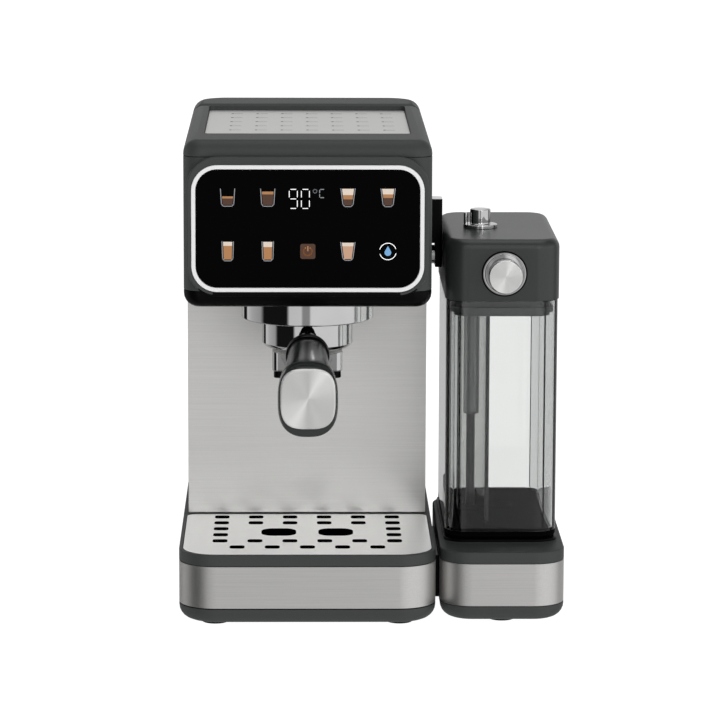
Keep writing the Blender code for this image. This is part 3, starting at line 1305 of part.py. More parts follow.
def build_milk_lid():
    """Lid with its collar and seal, frother chamber, suction tube, knob ring and both knobs."""
    low = (TANK_LEFT - LID_OVERHANG, TANK_FRONT - LID_OVERHANG, TANK_TOP + GAP)
    high = (TANK_RIGHT + LID_OVERHANG, TANK_BACK + 2 * LID_OVERHANG, LID_TOP)
    corner = TANK_CORNER + LID_OVERHANG
    body = block(low, high, front=corner, back=corner, top=LID_ROUND)
    lid = add_part("milk_lid", body, "charcoal_plastic", MILK_TANK)
    inset = TANK_WALL + SEAL_THICK + 2 * GAP
    collar_low = (TANK_LEFT + inset, TANK_FRONT + inset, TANK_TOP - COLLAR_DEPTH)
    collar_high = (TANK_RIGHT - inset, TANK_BACK - inset, TANK_TOP + COLLAR_ROOT)
    collar_corner = TANK_CORNER - inset
    collar = block(collar_low, collar_high, front=collar_corner, back=collar_corner)
    combine(lid, add_cutter("lid_collar", collar), "UNION")
    room_low = (collar_low[0] + LID_WALL, collar_low[1] + LID_WALL, collar_low[2] - CUT_PAST)
    room_high = (collar_high[0] - LID_WALL, collar_high[1] - LID_WALL, LID_TOP - 2 * LID_WALL)
    room_corner = collar_corner - LID_WALL
    room = block(room_low, room_high, front=room_corner, back=room_corner)
    combine(lid, add_cutter("lid_room", room))
    ring_seat = rod(KNOB_RING_RADIUS + GAP, 2 * KNOB_RING_DEPTH, "Y", segments=28)
    combine(lid, add_cutter("ring_seat", ring_seat, place=(KNOB_X, low[1], KNOB_Z)))
    shaft = SHAFT_RADIUS
    shaft_hole = rod(shaft + GAP, CHAMBER_LENGTH, "Y", segments=20)
    combine(lid, add_cutter("shaft_hole", shaft_hole, place=(KNOB_X, low[1], KNOB_Z)))
    spigot_low = LID_TOP - SPIGOT_DEPTH - GAP
    spigot_hole = upright_rod(shaft + GAP, spigot_low, LID_TOP + CUT_PAST, 20)
    combine(lid, add_cutter("spigot_hole", spigot_hole, place=(TOP_KNOB_X, TOP_KNOB_Y, 0)))

    seal_wall = TANK_WALL + GAP
    seal_top = TANK_TOP - SEAL_BELOW_TOP
    seal_low = (TANK_LEFT + seal_wall, TANK_FRONT + seal_wall, seal_top - SEAL_HEIGHT)
    seal_high = (TANK_RIGHT - seal_wall, TANK_BACK - seal_wall, seal_top)
    seal_corner = TANK_CORNER - seal_wall
    seal_body = block(seal_low, seal_high, front=seal_corner, back=seal_corner)
    seal = add_part("lid_seal", seal_body, "silicone", MILK_TANK)
    seal_bore = band_ring(seal_low, seal_high, SEAL_THICK, seal_corner, seal_corner)
    combine(seal, add_cutter("seal_bore", seal_bore))

    ring_front = low[1] - KNOB_RING_PROUD
    ring_back = low[1] + KNOB_RING_DEPTH - GAP
    lying = (math.pi / 2, 0, 0)
    turned(
        "knob_ring",
        [
            (KNOB_RING_RADIUS - KNOB_RING_PROUD, -ring_front),
            (KNOB_RING_RADIUS, -ring_front - KNOB_RING_PROUD),
            (KNOB_RING_RADIUS, -ring_back),
            (shaft + GAP, -ring_back),
            (shaft + GAP, -ring_back + KNOB_RING_FLOOR),
            (KNOB_RING_RADIUS - KNOB_RING_WIDTH, -ring_back + KNOB_RING_FLOOR),
            (KNOB_RING_RADIUS - KNOB_RING_WIDTH, -ring_front),
        ],
        "black_plastic",
        MILK_TANK,
        place=(KNOB_X, 0, KNOB_Z),
        turn=lying,
        steps=28,
    )
    knob_back = ring_back - KNOB_RING_FLOOR - GAP
    knob_front = low[1] - KNOB_LENGTH
    chamber_front = room_low[1] + 2 * GAP
    turned(
        "froth_knob",
        [
            (0, -knob_front),
            (KNOB_RADIUS - KNOB_EDGE, -knob_front),
            (KNOB_RADIUS, -knob_front - KNOB_EDGE),
            (KNOB_RADIUS, -knob_back),
            (shaft, -knob_back),
            (shaft, -chamber_front - CHAMBER_SHAFT_DEPTH),
            (0, -chamber_front - CHAMBER_SHAFT_DEPTH),
        ],
        "brushed_steel",
        FROTH_AXIS,
        place=(KNOB_X, 0, KNOB_Z),
        turn=lying,
        steps=28,
    )
    chamber = rod(CHAMBER_RADIUS, CHAMBER_LENGTH, "Y", segments=28)
    middle = chamber_front + CHAMBER_LENGTH / 2
    froth = add_part(
        "frother_chamber", chamber, "pale_plastic", MILK_TANK, place=(KNOB_X, middle, KNOB_Z)
    )
    bore = rod(shaft + GAP, 2 * (CHAMBER_SHAFT_DEPTH + 2 * GAP), "Y", segments=20)
    combine(froth, add_cutter("chamber_bore", bore, place=(KNOB_X, chamber_front, KNOB_Z)))
    arm_low = (TUBE_X - SLEEVE_RADIUS, middle, KNOB_Z - CHAMBER_RADIUS * 0.6)
    arm_high = (KNOB_X, TUBE_Y + SLEEVE_RADIUS, room_high[2] - GAP)
    combine(froth, add_cutter("chamber_arm", block(arm_low, arm_high)), "UNION")
    tank_floor = PLATFORM_TOP + GAP + TANK_FLOOR
    level_rod = upright_rod(LEVEL_ROD_RADIUS, tank_floor + LEVEL_ROD_ABOVE_FLOOR, KNOB_Z, 16)
    level_place = (KNOB_X - LEVEL_ROD_FROM_KNOB, LEVEL_ROD_Y, 0)
    combine(froth, add_cutter("level_rod", level_rod, place=level_place), "UNION")
    spigot_room = upright_rod(shaft + 2 * GAP, LID_TOP - SPIGOT_DEPTH - 2 * GAP, LID_TOP, 20)
    combine(froth, add_cutter("spigot_room", spigot_room, place=(TOP_KNOB_X, TOP_KNOB_Y, 0)))

    tube_top = arm_low[2] - GAP
    turned(
        "suction_tube",
        [
            (SLEEVE_RADIUS, tube_top),
            (SLEEVE_RADIUS, SLEEVE_LOW),
            (TUBE_RADIUS, SLEEVE_LOW),
            (TUBE_RADIUS, TUBE_LOW),
            (TUBE_RADIUS - TUBE_WALL, TUBE_LOW),
            (TUBE_RADIUS - TUBE_WALL, tube_top),
        ],
        "silicone",
        MILK_TANK,
        place=(TUBE_X, TUBE_Y, 0),
        steps=20,
    )
    seat = LID_TOP + GAP
    crown = seat + TOP_KNOB_HEIGHT
    flange_top = seat + TOP_KNOB_FLANGE_HEIGHT
    top_place = (TOP_KNOB_X, TOP_KNOB_Y, 0)
    top_knob = turned(
        "top_knob",
        [
            (0, crown),
            (TOP_KNOB_RADIUS - TOP_KNOB_EDGE, crown),
            (TOP_KNOB_RADIUS, crown - TOP_KNOB_EDGE),
            (TOP_KNOB_RADIUS, flange_top + TOP_KNOB_EDGE),
            (TOP_KNOB_RADIUS + TOP_KNOB_EDGE, flange_top),
            (TOP_KNOB_FLANGE, flange_top),
            (TOP_KNOB_FLANGE, seat),
            (shaft, seat),
            (shaft, LID_TOP - SPIGOT_DEPTH),
            (0, LID_TOP - SPIGOT_DEPTH),
        ],
        "chrome",
        TOP_AXIS,
        place=top_place,
        steps=24,
    )
    pin = upright_rod(TOP_PIN_RADIUS, seat + TOP_KNOB_FLANGE_HEIGHT / 2, seat + TOP_PIN_HEIGHT, 16)
    pin_place = (TOP_KNOB_X - TOP_KNOB_FLANGE + TOP_PIN_SET_IN, TOP_KNOB_Y, 0)
    combine(top_knob, add_cutter("top_pin", pin, place=pin_place), "UNION")


build_base()
build_tray()
build_column()
build_head()
build_display()
build_group()
build_portafilter()
build_water()
build_dock()
build_milk_base()
build_milk_tank()
build_milk_lid()
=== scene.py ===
"""Looks of an espresso machine with a docked milk-frothing tank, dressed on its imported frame."""

from __future__ import annotations

import json
import logging
import math
from collections import defaultdict
from collections.abc import Callable, Iterable, Sequence
from dataclasses import dataclass, field, replace
from enum import Enum

import bmesh
import bpy
from mathutils import Matrix, Vector


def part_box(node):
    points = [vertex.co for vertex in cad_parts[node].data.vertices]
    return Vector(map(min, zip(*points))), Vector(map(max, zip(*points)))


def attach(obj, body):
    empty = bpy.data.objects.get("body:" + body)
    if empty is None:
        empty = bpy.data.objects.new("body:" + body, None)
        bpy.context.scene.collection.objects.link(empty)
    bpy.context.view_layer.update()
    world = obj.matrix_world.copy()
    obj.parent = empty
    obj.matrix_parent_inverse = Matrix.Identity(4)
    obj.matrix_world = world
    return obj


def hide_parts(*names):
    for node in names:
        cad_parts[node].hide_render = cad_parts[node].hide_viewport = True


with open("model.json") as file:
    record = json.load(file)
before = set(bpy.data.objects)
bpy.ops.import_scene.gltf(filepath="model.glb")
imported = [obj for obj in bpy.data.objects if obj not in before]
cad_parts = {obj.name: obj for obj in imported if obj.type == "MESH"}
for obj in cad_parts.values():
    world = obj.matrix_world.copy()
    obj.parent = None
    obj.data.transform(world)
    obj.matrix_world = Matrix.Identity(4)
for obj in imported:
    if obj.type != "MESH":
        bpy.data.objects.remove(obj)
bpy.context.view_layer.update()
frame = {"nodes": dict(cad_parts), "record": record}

LOG = logging.getLogger("espresso_machine")
MM = 0.001
# Clearance between pieces that meet, and how far a cutter reaches past what it cuts
GAP = 0.3 * MM
PAST = 4 * MM
# Sizes that two sub-assemblies share
HEAD_CORNER = 12 * MM
STEM_RADIUS = 33.6 * MM
NOZZLE_BORE = 5.1 * MM
# Slow change of tone and gloss, about a hand across, and its share beside the fine pattern
TONE_SCALE = 1 / (90 * MM)
TONE_SHARE = 0.35
# Turns what was made about Z to face the front
FORWARD = Matrix.Rotation(math.pi / 2, 4, "X")
BODY_OF = {node: body for body, nodes in frame["record"]["behaviour"]["bodies"].items() for node in nodes}
Box = tuple[Vector, Vector]
Point = tuple[float, float]


def linear(hex_colour: str) -> tuple[float, float, float, float]:
    """Turns an sRGB hex colour into linear light.

    Args:
        hex_colour: six hex digits after a hash sign.

    Returns:
        Red, green, blue and an alpha of one.
    """
    channels = [int(hex_colour[start : start + 2], 16) / 255 for start in (1, 3, 5)]
    red, green, blue = (c / 12.92 if c <= 0.04045 else ((c + 0.055) / 1.055) ** 2.4 for c in channels)
    return red, green, blue, 1.0


def add_node(
    tree: bpy.types.NodeTree, kind: str, inputs: dict | None = None, **settings: object
) -> bpy.types.Node:
    """Adds a node with its settings, input values and links.

    Args:
        tree: the material's or world's node tree.
        kind: the node's Blender type.
        inputs: input name or index to a value, or to the socket that feeds it.
        settings: the node's own properties.

    Returns:
        The new node.
    """
    node = tree.nodes.new(kind)
    for name, value in settings.items():
        setattr(node, name, value)
    for name, value in (inputs or {}).items():
        if isinstance(value, bpy.types.NodeSocket):
            tree.links.new(value, node.inputs[name])
        else:
            node.inputs[name].default_value = value
    return node


class Surface(Enum):
    """How a surface was made, which gives its fine pattern."""

    MOULDED = "moulded"
    BRUSHED = "brushed"
    TURNED = "turned"
    POLISHED = "polished"


@dataclass(frozen=True)
class Finish:
    """One material: what it is made of, how its surface was worked and what that gives the eye."""

    name: str
    slot: str
    colour: str
    surface: Surface
    roughness: float
    metallic: float = 0.0
    ior: float = 1.5
    grain_mm: float = 0.7
    length_mm: float = 60.0
    brush_axis: str = "X"
    relief_mm: float = 0.0
    mottle: float = 0.08
    spread: float = 0.05
    anisotropy: float = 0.0
    anisotropy_turn: float = 0.0
    tangent_axis: str = "Z"
    transmission: float = 0.0
    glow: float = 0.0
    absorb_per_m: float = 0.0

    def pattern(self, tree: bpy.types.NodeTree, place: bpy.types.NodeSocket) -> bpy.types.NodeSocket:
        """Adds the nodes of the fine pattern.

        Args:
            tree: the material's node tree.
            place: the object coordinates, in metres.

        Returns:
            A socket from 0 to 1.
        """
        fine = 1 / (self.grain_mm * MM)
        if self.surface is Surface.BRUSHED:
            along = 1 / (self.length_mm * MM)
            scale = [along if axis == self.brush_axis else fine for axis in "XYZ"]
            spread = add_node(tree, "ShaderNodeMapping", {"Vector": place, "Scale": scale})
            lines = {"Vector": spread.outputs[0], "Scale": 1.0, "Detail": 4.0, "Roughness": 0.65}
            return add_node(tree, "ShaderNodeTexNoise", lines).outputs[0]
        if self.surface is Surface.TURNED:
            flat = [0.0 if axis == self.tangent_axis else 1.0 for axis in "XYZ"]
            across = add_node(tree, "ShaderNodeVectorMath", {0: place, 1: flat}, operation="MULTIPLY")
            radius = add_node(tree, "ShaderNodeVectorMath", {0: across.outputs[0]}, operation="LENGTH")
            rings = {"W": radius.outputs["Value"], "Scale": fine, "Detail": 3.0}
            return add_node(tree, "ShaderNodeTexNoise", rings, noise_dimensions="1D").outputs[0]
        cells = {"Vector": place, "Scale": fine, "Detail": 2.0}
        return add_node(tree, "ShaderNodeTexNoise", cells).outputs[0]

    def material(self) -> bpy.types.Material:
        """Makes the finish's material, or finds it again after its first use.

        Returns:
            The material.
        """
        found = bpy.data.materials.get(self.name)
        if found:
            return found
        material = bpy.data.materials.new(self.name)
        material.use_nodes = True
        tree = material.node_tree
        shader = tree.nodes["Principled BSDF"]
        place = add_node(tree, "ShaderNodeTexCoord").outputs["Object"]
        fine = self.pattern(tree, place)
        slow = {"Vector": place, "Scale": TONE_SCALE, "Detail": 3.0}
        tone = add_node(tree, "ShaderNodeTexNoise", slow).outputs[0]
        both = {0: tone, 1: TONE_SHARE, 2: fine}
        mixed = add_node(tree, "ShaderNodeMath", both, operation="MULTIPLY_ADD").outputs[0]
        level = {"Value": mixed, "From Min": 0.25, "From Max": 1.1}
        tint = add_node(tree, "ShaderNodeMapRange", level).outputs[0]
        base = linear(self.colour)
        dark = [channel * (1 - self.mottle) for channel in base[:3]] + [1.0]
        light = [min(channel * (1 + self.mottle), 1.0) for channel in base[:3]] + [1.0]
        shade = add_node(tree, "ShaderNodeMix", {0: tint, 6: dark, 7: light}, data_type="RGBA")
        low = max(self.roughness - self.spread, 0.0)
        rough = {**level, "To Min": low, "To Max": self.roughness + self.spread}
        gloss = add_node(tree, "ShaderNodeMapRange", rough)
        tree.links.new(shade.outputs[2], shader.inputs["Base Color"])
        tree.links.new(gloss.outputs[0], shader.inputs["Roughness"])
        if self.relief_mm:
            relief = {"Height": fine, "Strength": 1.0, "Distance": self.relief_mm * MM}
            tree.links.new(add_node(tree, "ShaderNodeBump", relief).outputs[0], shader.inputs["Normal"])
        if self.anisotropy:
            turn = add_node(tree, "ShaderNodeTangent", direction_type="RADIAL", axis=self.tangent_axis)
            tree.links.new(turn.outputs[0], shader.inputs["Tangent"])
        constants = {
            "Metallic": self.metallic,
            "IOR": self.ior,
            "Anisotropic": self.anisotropy,
            "Anisotropic Rotation": self.anisotropy_turn,
            "Transmission Weight": self.transmission,
            "Emission Color": base,
            "Emission Strength": self.glow,
        }
        for socket, value in constants.items():
            shader.inputs[socket].default_value = value
        if self.absorb_per_m:
            # The tint of the absorbed light is grey, so that only the density sets how dark it gets
            grey = linear("#808080")
            density = self.absorb_per_m / (1 - grey[0])
            inside = add_node(tree, "ShaderNodeVolumeAbsorption", {"Color": grey, "Density": density})
            tree.links.new(inside.outputs[0], tree.nodes["Material Output"].inputs["Volume"])
        return material


# Real moulded, brushed and turned grains are near 0.1 mm, too fine for the render, so all are drawn coarser

# Moulded ABS with a fine spark-eroded grain: a soft, broad sheen with no sharp reflections
CHARCOAL_ABS = Finish(
    "charcoal_abs_moulded", "charcoal_plastic", "#393C3B", Surface.MOULDED, 0.5, ior=1.4, relief_mm=0.008
)
# The same ABS from a smoother mould, on the milk lid: soft light lines along its rounded edges
SATIN_ABS = replace(CHARCOAL_ABS, name="charcoal_abs_satin", colour="#2A2D2C", roughness=0.34, ior=1.5)
# The grip's ABS, polished where the hand goes: a clearer streak of light along its back
GRIP_ABS = replace(SATIN_ABS, name="charcoal_abs_polished", roughness=0.24)
# Black ABS of the lower head and the small trim; its low index gives the weak sheen of the photograph
BLACK_ABS = Finish(
    "black_abs_moulded", "black_plastic", "#060606", Surface.MOULDED, 0.30, ior=1.16, relief_mm=0.006
)
# A matt black with no reflections even at a low angle: painted shade in the tray's well and the grate's
# slots, and on the milk tank's floor for the black platform below and the shade inside
SHADE_BLACK = replace(
    BLACK_ABS, name="black_painted_shade", roughness=0.9, ior=1.1, grain_mm=1.0, relief_mm=0.02
)
# White polycarbonate of the display frame and the level marks, smooth and bright
WHITE_PC = Finish("white_polycarbonate", "pale_frame", "#ECECEC", Surface.MOULDED, 0.30, mottle=0.02)
# Float glass painted black behind, with an anti-reflection coat: a deep black under a faint mirror
BLACK_GLASS = Finish(
    "back_painted_glass",
    "display_black",
    "#010101",
    Surface.POLISHED,
    0.06,
    ior=1.16,
    grain_mm=40.0,
    spread=0.02,
)
# Sheet steel brushed along its length, with streaks that catch the light
BRUSHED_STEEL = Finish(
    "stainless_steel_brushed",
    "brushed_steel",
    "#E8E7E5",
    Surface.BRUSHED,
    0.40,
    metallic=1.0,
    grain_mm=0.45,
    length_mm=70.0,
    relief_mm=0.004,
    mottle=0.10,
    spread=0.07,
    anisotropy=0.55,
)
# The bands' strip, a duller grade of the same brushed sheet
BAND_STEEL = replace(BRUSHED_STEEL, name="stainless_steel_strip", colour="#D2D1CF", mottle=0.14)
# The same sheet lying flat, brushed from side to side
FLAT_STEEL = replace(
    BRUSHED_STEEL,
    name="stainless_steel_flat",
    colour="#FAFAF8",
    roughness=0.30,
    relief_mm=0.003,
    mottle=0.07,
    spread=0.06,
    anisotropy=0.45,
    tangent_axis="Y",
)
# The warming plate's sheet, rolled rather than brushed, so that it shows fewer streaks
ROLLED_STEEL = Finish(
    "stainless_steel_rolled",
    "brushed_steel",
    "#EEEEEC",
    Surface.BRUSHED,
    0.42,
    metallic=1.0,
    grain_mm=0.8,
    length_mm=40.0,
    mottle=0.03,
    spread=0.04,
)
# Steel faced on a lathe: rings that give the light wedges of a spun disc
SPUN_STEEL = Finish(
    "stainless_steel_spun",
    "brushed_steel",
    "#FCFCFA",
    Surface.TURNED,
    0.45,
    metallic=1.0,
    grain_mm=0.40,
    mottle=0.02,
    spread=0.02,
    anisotropy=0.96,
    anisotropy_turn=0.25,
    tangent_axis="Y",
)
# Plated and polished brass: a clean mirror
CHROME = Finish(
    "chrome_plated", "chrome", "#CCCCCC", Surface.POLISHED, 0.05, metallic=1.0, grain_mm=25.0, spread=0.02
)
# Clear injection-moulded copolyester with a grey tint, glossy inside and out; its index is below the usual
# 1.57, which keeps the walls as bright as in the photograph
CLEAR_TANK = Finish(
    "clear_copolyester",
    "clear_plastic",
    "#FCFDFC",
    Surface.POLISHED,
    0.02,
    ior=1.36,
    grain_mm=30.0,
    mottle=0.01,
    spread=0.015,
    transmission=1.0,
    absorb_per_m=60.0,
)
# The tank's rounded corners, tinted darker than the rest of the clear wall: painted shade for the dark
# edges of the tank
CLEAR_CORNER_SHADE = replace(CLEAR_TANK, name="clear_copolyester_painted_shade", colour="#D6D8D7")
# Smoked copolyester of the guard round the milk pipe, darker where the wall is seen along its length
SMOKED_GUARD = replace(CLEAR_TANK, name="smoked_copolyester", absorb_per_m=300.0)
# Extruded silicone of the milk pipe's sleeve, smoother than the moulded kind, which lets some light through
PALE_SILICONE = Finish(
    "silicone_extruded",
    "silicone",
    "#E4E6E6",
    Surface.POLISHED,
    0.22,
    mottle=0.05,
    transmission=0.7,
    absorb_per_m=20.0,
)
# Soft silicone, slightly dusty
SILICONE = Finish("silicone_grey", "silicone", "#5B5D5D", Surface.MOULDED, 0.55, mottle=0.05)
# Pressed rubber with a dull bloom
RUBBER = Finish("rubber_black", "rubber", "#161616", Surface.MOULDED, 0.80, grain_mm=1.2, relief_mm=0.03)
# Die-cast aluminium with a sandy skin
CAST_ALUMINIUM = Finish(
    "aluminium_cast",
    "aluminium",
    "#A9ABAC",
    Surface.MOULDED,
    0.45,
    metallic=1.0,
    grain_mm=1.0,
    relief_mm=0.03,
)
# Glass-fibre board under green solder mask
CIRCUIT_BOARD = Finish(
    "circuit_board_mask", "circuit_board", "#1F5638", Surface.MOULDED, 0.40, grain_mm=2.0, mottle=0.2
)
# Grey polypropylene of the frother
GREY_PP = Finish("grey_polypropylene", "chamber_plastic", "#3C3E3E", Surface.MOULDED, 0.45)
# Lit symbols under the glass, in the colours of coffee, milk and water
LIT_WHITE = Finish("lit_white", "pale_frame", "#D8D8D8", Surface.POLISHED, 0.4, mottle=0.01, glow=0.8)
LIT_GREY = Finish("lit_grey", "pale_frame", "#7C7E82", Surface.POLISHED, 0.4, mottle=0.01, glow=0.5)
LIT_FOAM = Finish("lit_foam", "pale_frame", "#C4B6A8", Surface.POLISHED, 0.4, mottle=0.02, glow=0.4)
LIT_TAN = Finish("lit_tan", "pale_frame", "#9C6C42", Surface.POLISHED, 0.4, mottle=0.03, glow=0.35)
LIT_COFFEE = Finish("lit_coffee", "pale_frame", "#432716", Surface.POLISHED, 0.4, mottle=0.05, glow=0.35)
LIT_MILK = Finish("lit_milk", "pale_frame", "#B08A70", Surface.POLISHED, 0.4, mottle=0.03, glow=0.35)
LIT_BLUE = Finish("lit_blue", "pale_frame", "#5F8FB8", Surface.POLISHED, 0.4, mottle=0.02, glow=0.5)


def temporary(mesh: bpy.types.Mesh) -> bpy.types.Object:
    """Links a mesh as a helper object, which baked() removes again.

    Args:
        mesh: the helper's mesh.

    Returns:
        The helper.
    """
    helper = bpy.data.objects.new("helper", mesh)
    bpy.context.scene.collection.objects.link(helper)
    return helper


def baked(helper: bpy.types.Object) -> bpy.types.Mesh:
    """Applies a helper's modifiers to a new mesh, and removes the helper.

    Args:
        helper: the object with modifiers.

    Returns:
        The new mesh.
    """
    bpy.context.view_layer.update()
    graph = bpy.context.evaluated_depsgraph_get()
    mesh = bpy.data.meshes.new_from_object(helper.evaluated_get(graph), depsgraph=graph)
    bpy.data.objects.remove(helper)
    return mesh


def mesh_of(shape: bmesh.types.BMesh) -> bpy.types.Mesh:
    """Ends a bmesh as a mesh with its faces pointing out.

    Args:
        shape: the bmesh, which is freed.

    Returns:
        The mesh.
    """
    bmesh.ops.recalc_face_normals(shape, faces=shape.faces)
    mesh = bpy.data.meshes.new("shape")
    shape.to_mesh(mesh)
    shape.free()
    return mesh


@dataclass(frozen=True)
class Rounding:
    """Radii of a box: plan corners at the front and back, and its top and bottom edges."""

    front: float = 0.0
    back: float = 0.0
    top: float = 0.0
    bottom: float = 0.0
    corner_steps: int = 14
    edge_steps: int = 6

    def less(self, wall: float) -> Rounding:
        """The rounding of the same box seen a wall further in."""
        radii = [max(radius - wall, 0.0) for radius in (self.front, self.back, self.top, self.bottom)]
        return Rounding(*radii, self.corner_steps, self.edge_steps)


def rounded_box(low: Sequence[float], high: Sequence[float], rounding: Rounding) -> bpy.types.Mesh:
    """Makes a box with rounded plan corners, top and bottom.

    Args:
        low: lowest corner.
        high: highest corner.
        rounding: its radii.

    Returns:
        The mesh.
    """
    low, high = Vector(low), Vector(high)
    shape = bmesh.new()
    bmesh.ops.create_cube(shape, size=1.0)
    bmesh.ops.scale(shape, vec=high - low, verts=shape.verts)
    bmesh.ops.translate(shape, vec=(low + high) / 2, verts=shape.verts)
    middle = (low.y + high.y) / 2
    uprights = [edge for edge in shape.edges if abs(edge.verts[0].co.z - edge.verts[1].co.z) > 1e-6]
    at_front = [edge for edge in uprights if edge.verts[0].co.y < middle]
    at_back = [edge for edge in uprights if edge not in at_front]
    for edges, radius in ((at_front, rounding.front), (at_back, rounding.back)):
        if radius > 0:
            round_edges(shape, edges, radius, rounding.corner_steps)
    for height, radius in ((high.z, rounding.top), (low.z, rounding.bottom)):
        if radius > 0:
            rim = [edge for edge in shape.edges if all(abs(v.co.z - height) < 1e-7 for v in edge.verts)]
            round_edges(shape, rim, radius, rounding.edge_steps)
    return mesh_of(shape)


def round_edges(
    shape: bmesh.types.BMesh, edges: Iterable[bmesh.types.BMEdge], radius: float, steps: int
) -> None:
    """Rounds edges of a bmesh in place.

    Args:
        shape: the bmesh.
        edges: the edges to round.
        radius: their radius.
        steps: faces across each rounding.
    """
    circular = {"profile": 0.5, "affect": "EDGES", "clamp_overlap": True}
    bmesh.ops.bevel(shape, geom=list(edges), offset=radius, segments=steps, **circular)


def standing_plate(
    low: Sequence[float], high: Sequence[float], corner: float, edge: float = 0.0
) -> bpy.types.Mesh:
    """Makes a plate that stands in the XZ plane, with round corners and a round front edge.

    Args:
        low: lowest corner.
        high: highest corner.
        corner: radius of its four corners.
        edge: radius of its front edge.

    Returns:
        The mesh.
    """
    low, high = Vector(low), Vector(high)
    lying_low = (low.x, low.z, -high.y)
    lying_high = (high.x, high.z, -low.y)
    mesh = rounded_box(lying_low, lying_high, Rounding(corner, corner, edge, 0.0, 18, 5))
    mesh.transform(FORWARD)
    return mesh


def turned(profile: Sequence[Point], steps: int = 96) -> bpy.types.Mesh:
    """Turns a profile of radius and height about Z; it is closed through the axis or back to its start.

    Args:
        profile: points of radius and height.
        steps: faces round the axis.

    Returns:
        The mesh.
    """
    shape = bmesh.new()
    verts = [shape.verts.new((radius, 0, height)) for radius, height in profile]
    edges = [shape.edges.new(pair) for pair in zip(verts, verts[1:])]
    if profile[0][0] > 1e-9:
        edges.append(shape.edges.new((verts[-1], verts[0])))
    full = {"cent": (0, 0, 0), "axis": (0, 0, 1), "angle": 2 * math.pi, "steps": steps}
    bmesh.ops.spin(shape, geom=[*verts, *edges], use_merge=True, use_duplicate=False, **full)
    bmesh.ops.remove_doubles(shape, verts=shape.verts, dist=1e-6)
    return mesh_of(shape)


def arc(centre: Point, radius: float, start: float, end: float, steps: int = 6) -> list[Point]:
    """Points of an arc between two angles in degrees, for a profile or an outline.

    Args:
        centre: the arc's centre.
        radius: its radius.
        start: first angle.
        end: last angle.
        steps: lines along it.

    Returns:
        The points.
    """
    angles = [math.radians(start + (end - start) * step / steps) for step in range(steps + 1)]
    return [(centre[0] + radius * math.cos(a), centre[1] + radius * math.sin(a)) for a in angles]


def loft(rings: Sequence[Sequence[Vector]]) -> bpy.types.Mesh:
    """Joins rings of points into one closed body with flat ends.

    Args:
        rings: rings with the same number of points each.

    Returns:
        The mesh.
    """
    shape = bmesh.new()
    rows = [[shape.verts.new(point) for point in ring] for ring in rings]
    count = len(rows[0])
    for row, following in zip(rows, rows[1:]):
        for step in range(count):
            beside = (step + 1) % count
            shape.faces.new((row[step], row[beside], following[beside], following[step]))
    shape.faces.new(rows[0])
    shape.faces.new(rows[-1])
    return mesh_of(shape)


def combined(
    mesh: bpy.types.Mesh, others: Iterable[bpy.types.Mesh], operation: str = "DIFFERENCE"
) -> bpy.types.Mesh:
    """Cuts other meshes out of a mesh, or joins them on.

    Args:
        mesh: the body.
        others: the meshes that cut or join it.
        operation: DIFFERENCE or UNION.

    Returns:
        The new mesh.
    """
    helper = temporary(mesh)
    cutters = [temporary(other) for other in others]
    for cutter in cutters:
        modifier = helper.modifiers.new("combine", "BOOLEAN")
        modifier.operation = operation
        modifier.solver = "EXACT"
        modifier.object = cutter
    result = baked(helper)
    for cutter in cutters:
        bpy.data.objects.remove(cutter)
    return result


def softened(mesh: bpy.types.Mesh, width: float, steps: int = 2, angle: float = 40.0) -> bpy.types.Mesh:
    """Rounds a mesh's sharp edges by a small width.

    Args:
        mesh: the mesh.
        width: how far the rounding reaches from the edge.
        steps: faces across it.
        angle: the least angle, in degrees, that counts as sharp.

    Returns:
        The new mesh.
    """
    helper = temporary(mesh)
    bevel = helper.modifiers.new("soften", "BEVEL")
    bevel.width = width
    bevel.segments = steps
    bevel.limit_method = "ANGLE"
    bevel.angle_limit = math.radians(angle)
    bevel.use_clamp_overlap = True
    return baked(helper)


def split_level(mesh: bpy.types.Mesh, height: float) -> bpy.types.Mesh:
    """Cuts a mesh's faces along a level plane, so that each side can have its own finish.

    Args:
        mesh: the mesh.
        height: the plane's height.

    Returns:
        The new mesh.
    """
    shape = bmesh.new()
    shape.from_mesh(mesh)
    everything = [*shape.verts, *shape.edges, *shape.faces]
    bmesh.ops.bisect_plane(shape, geom=everything, plane_co=(0, 0, height), plane_no=(0, 0, 1))
    return mesh_of(shape)


def rod(radius: float, start: Sequence[float], end: Sequence[float], steps: int = 48) -> bpy.types.Mesh:
    """Makes a cylinder between two points.

    Args:
        radius: its radius.
        start: middle of one end.
        end: middle of the other end.
        steps: faces round it.

    Returns:
        The mesh.
    """
    start, end = Vector(start), Vector(end)
    shape = bmesh.new()
    along = end - start
    place = Matrix.Translation((start + end) / 2) @ along.to_track_quat("Z", "Y").to_matrix().to_4x4()
    sizes = {"radius1": radius, "radius2": radius, "depth": along.length}
    bmesh.ops.create_cone(shape, cap_ends=True, segments=steps, matrix=place, **sizes)
    return mesh_of(shape)


def shaded(mesh: bpy.types.Mesh, angle: float = 32.0) -> bpy.types.Mesh:
    """Shades a mesh smooth, with its sharper edges kept.

    Args:
        mesh: the mesh, changed in place.
        angle: the least angle, in degrees, that stays sharp.

    Returns:
        The same mesh.
    """
    mesh.shade_smooth()
    mesh.set_sharp_from_angle(angle=math.radians(angle))
    return mesh


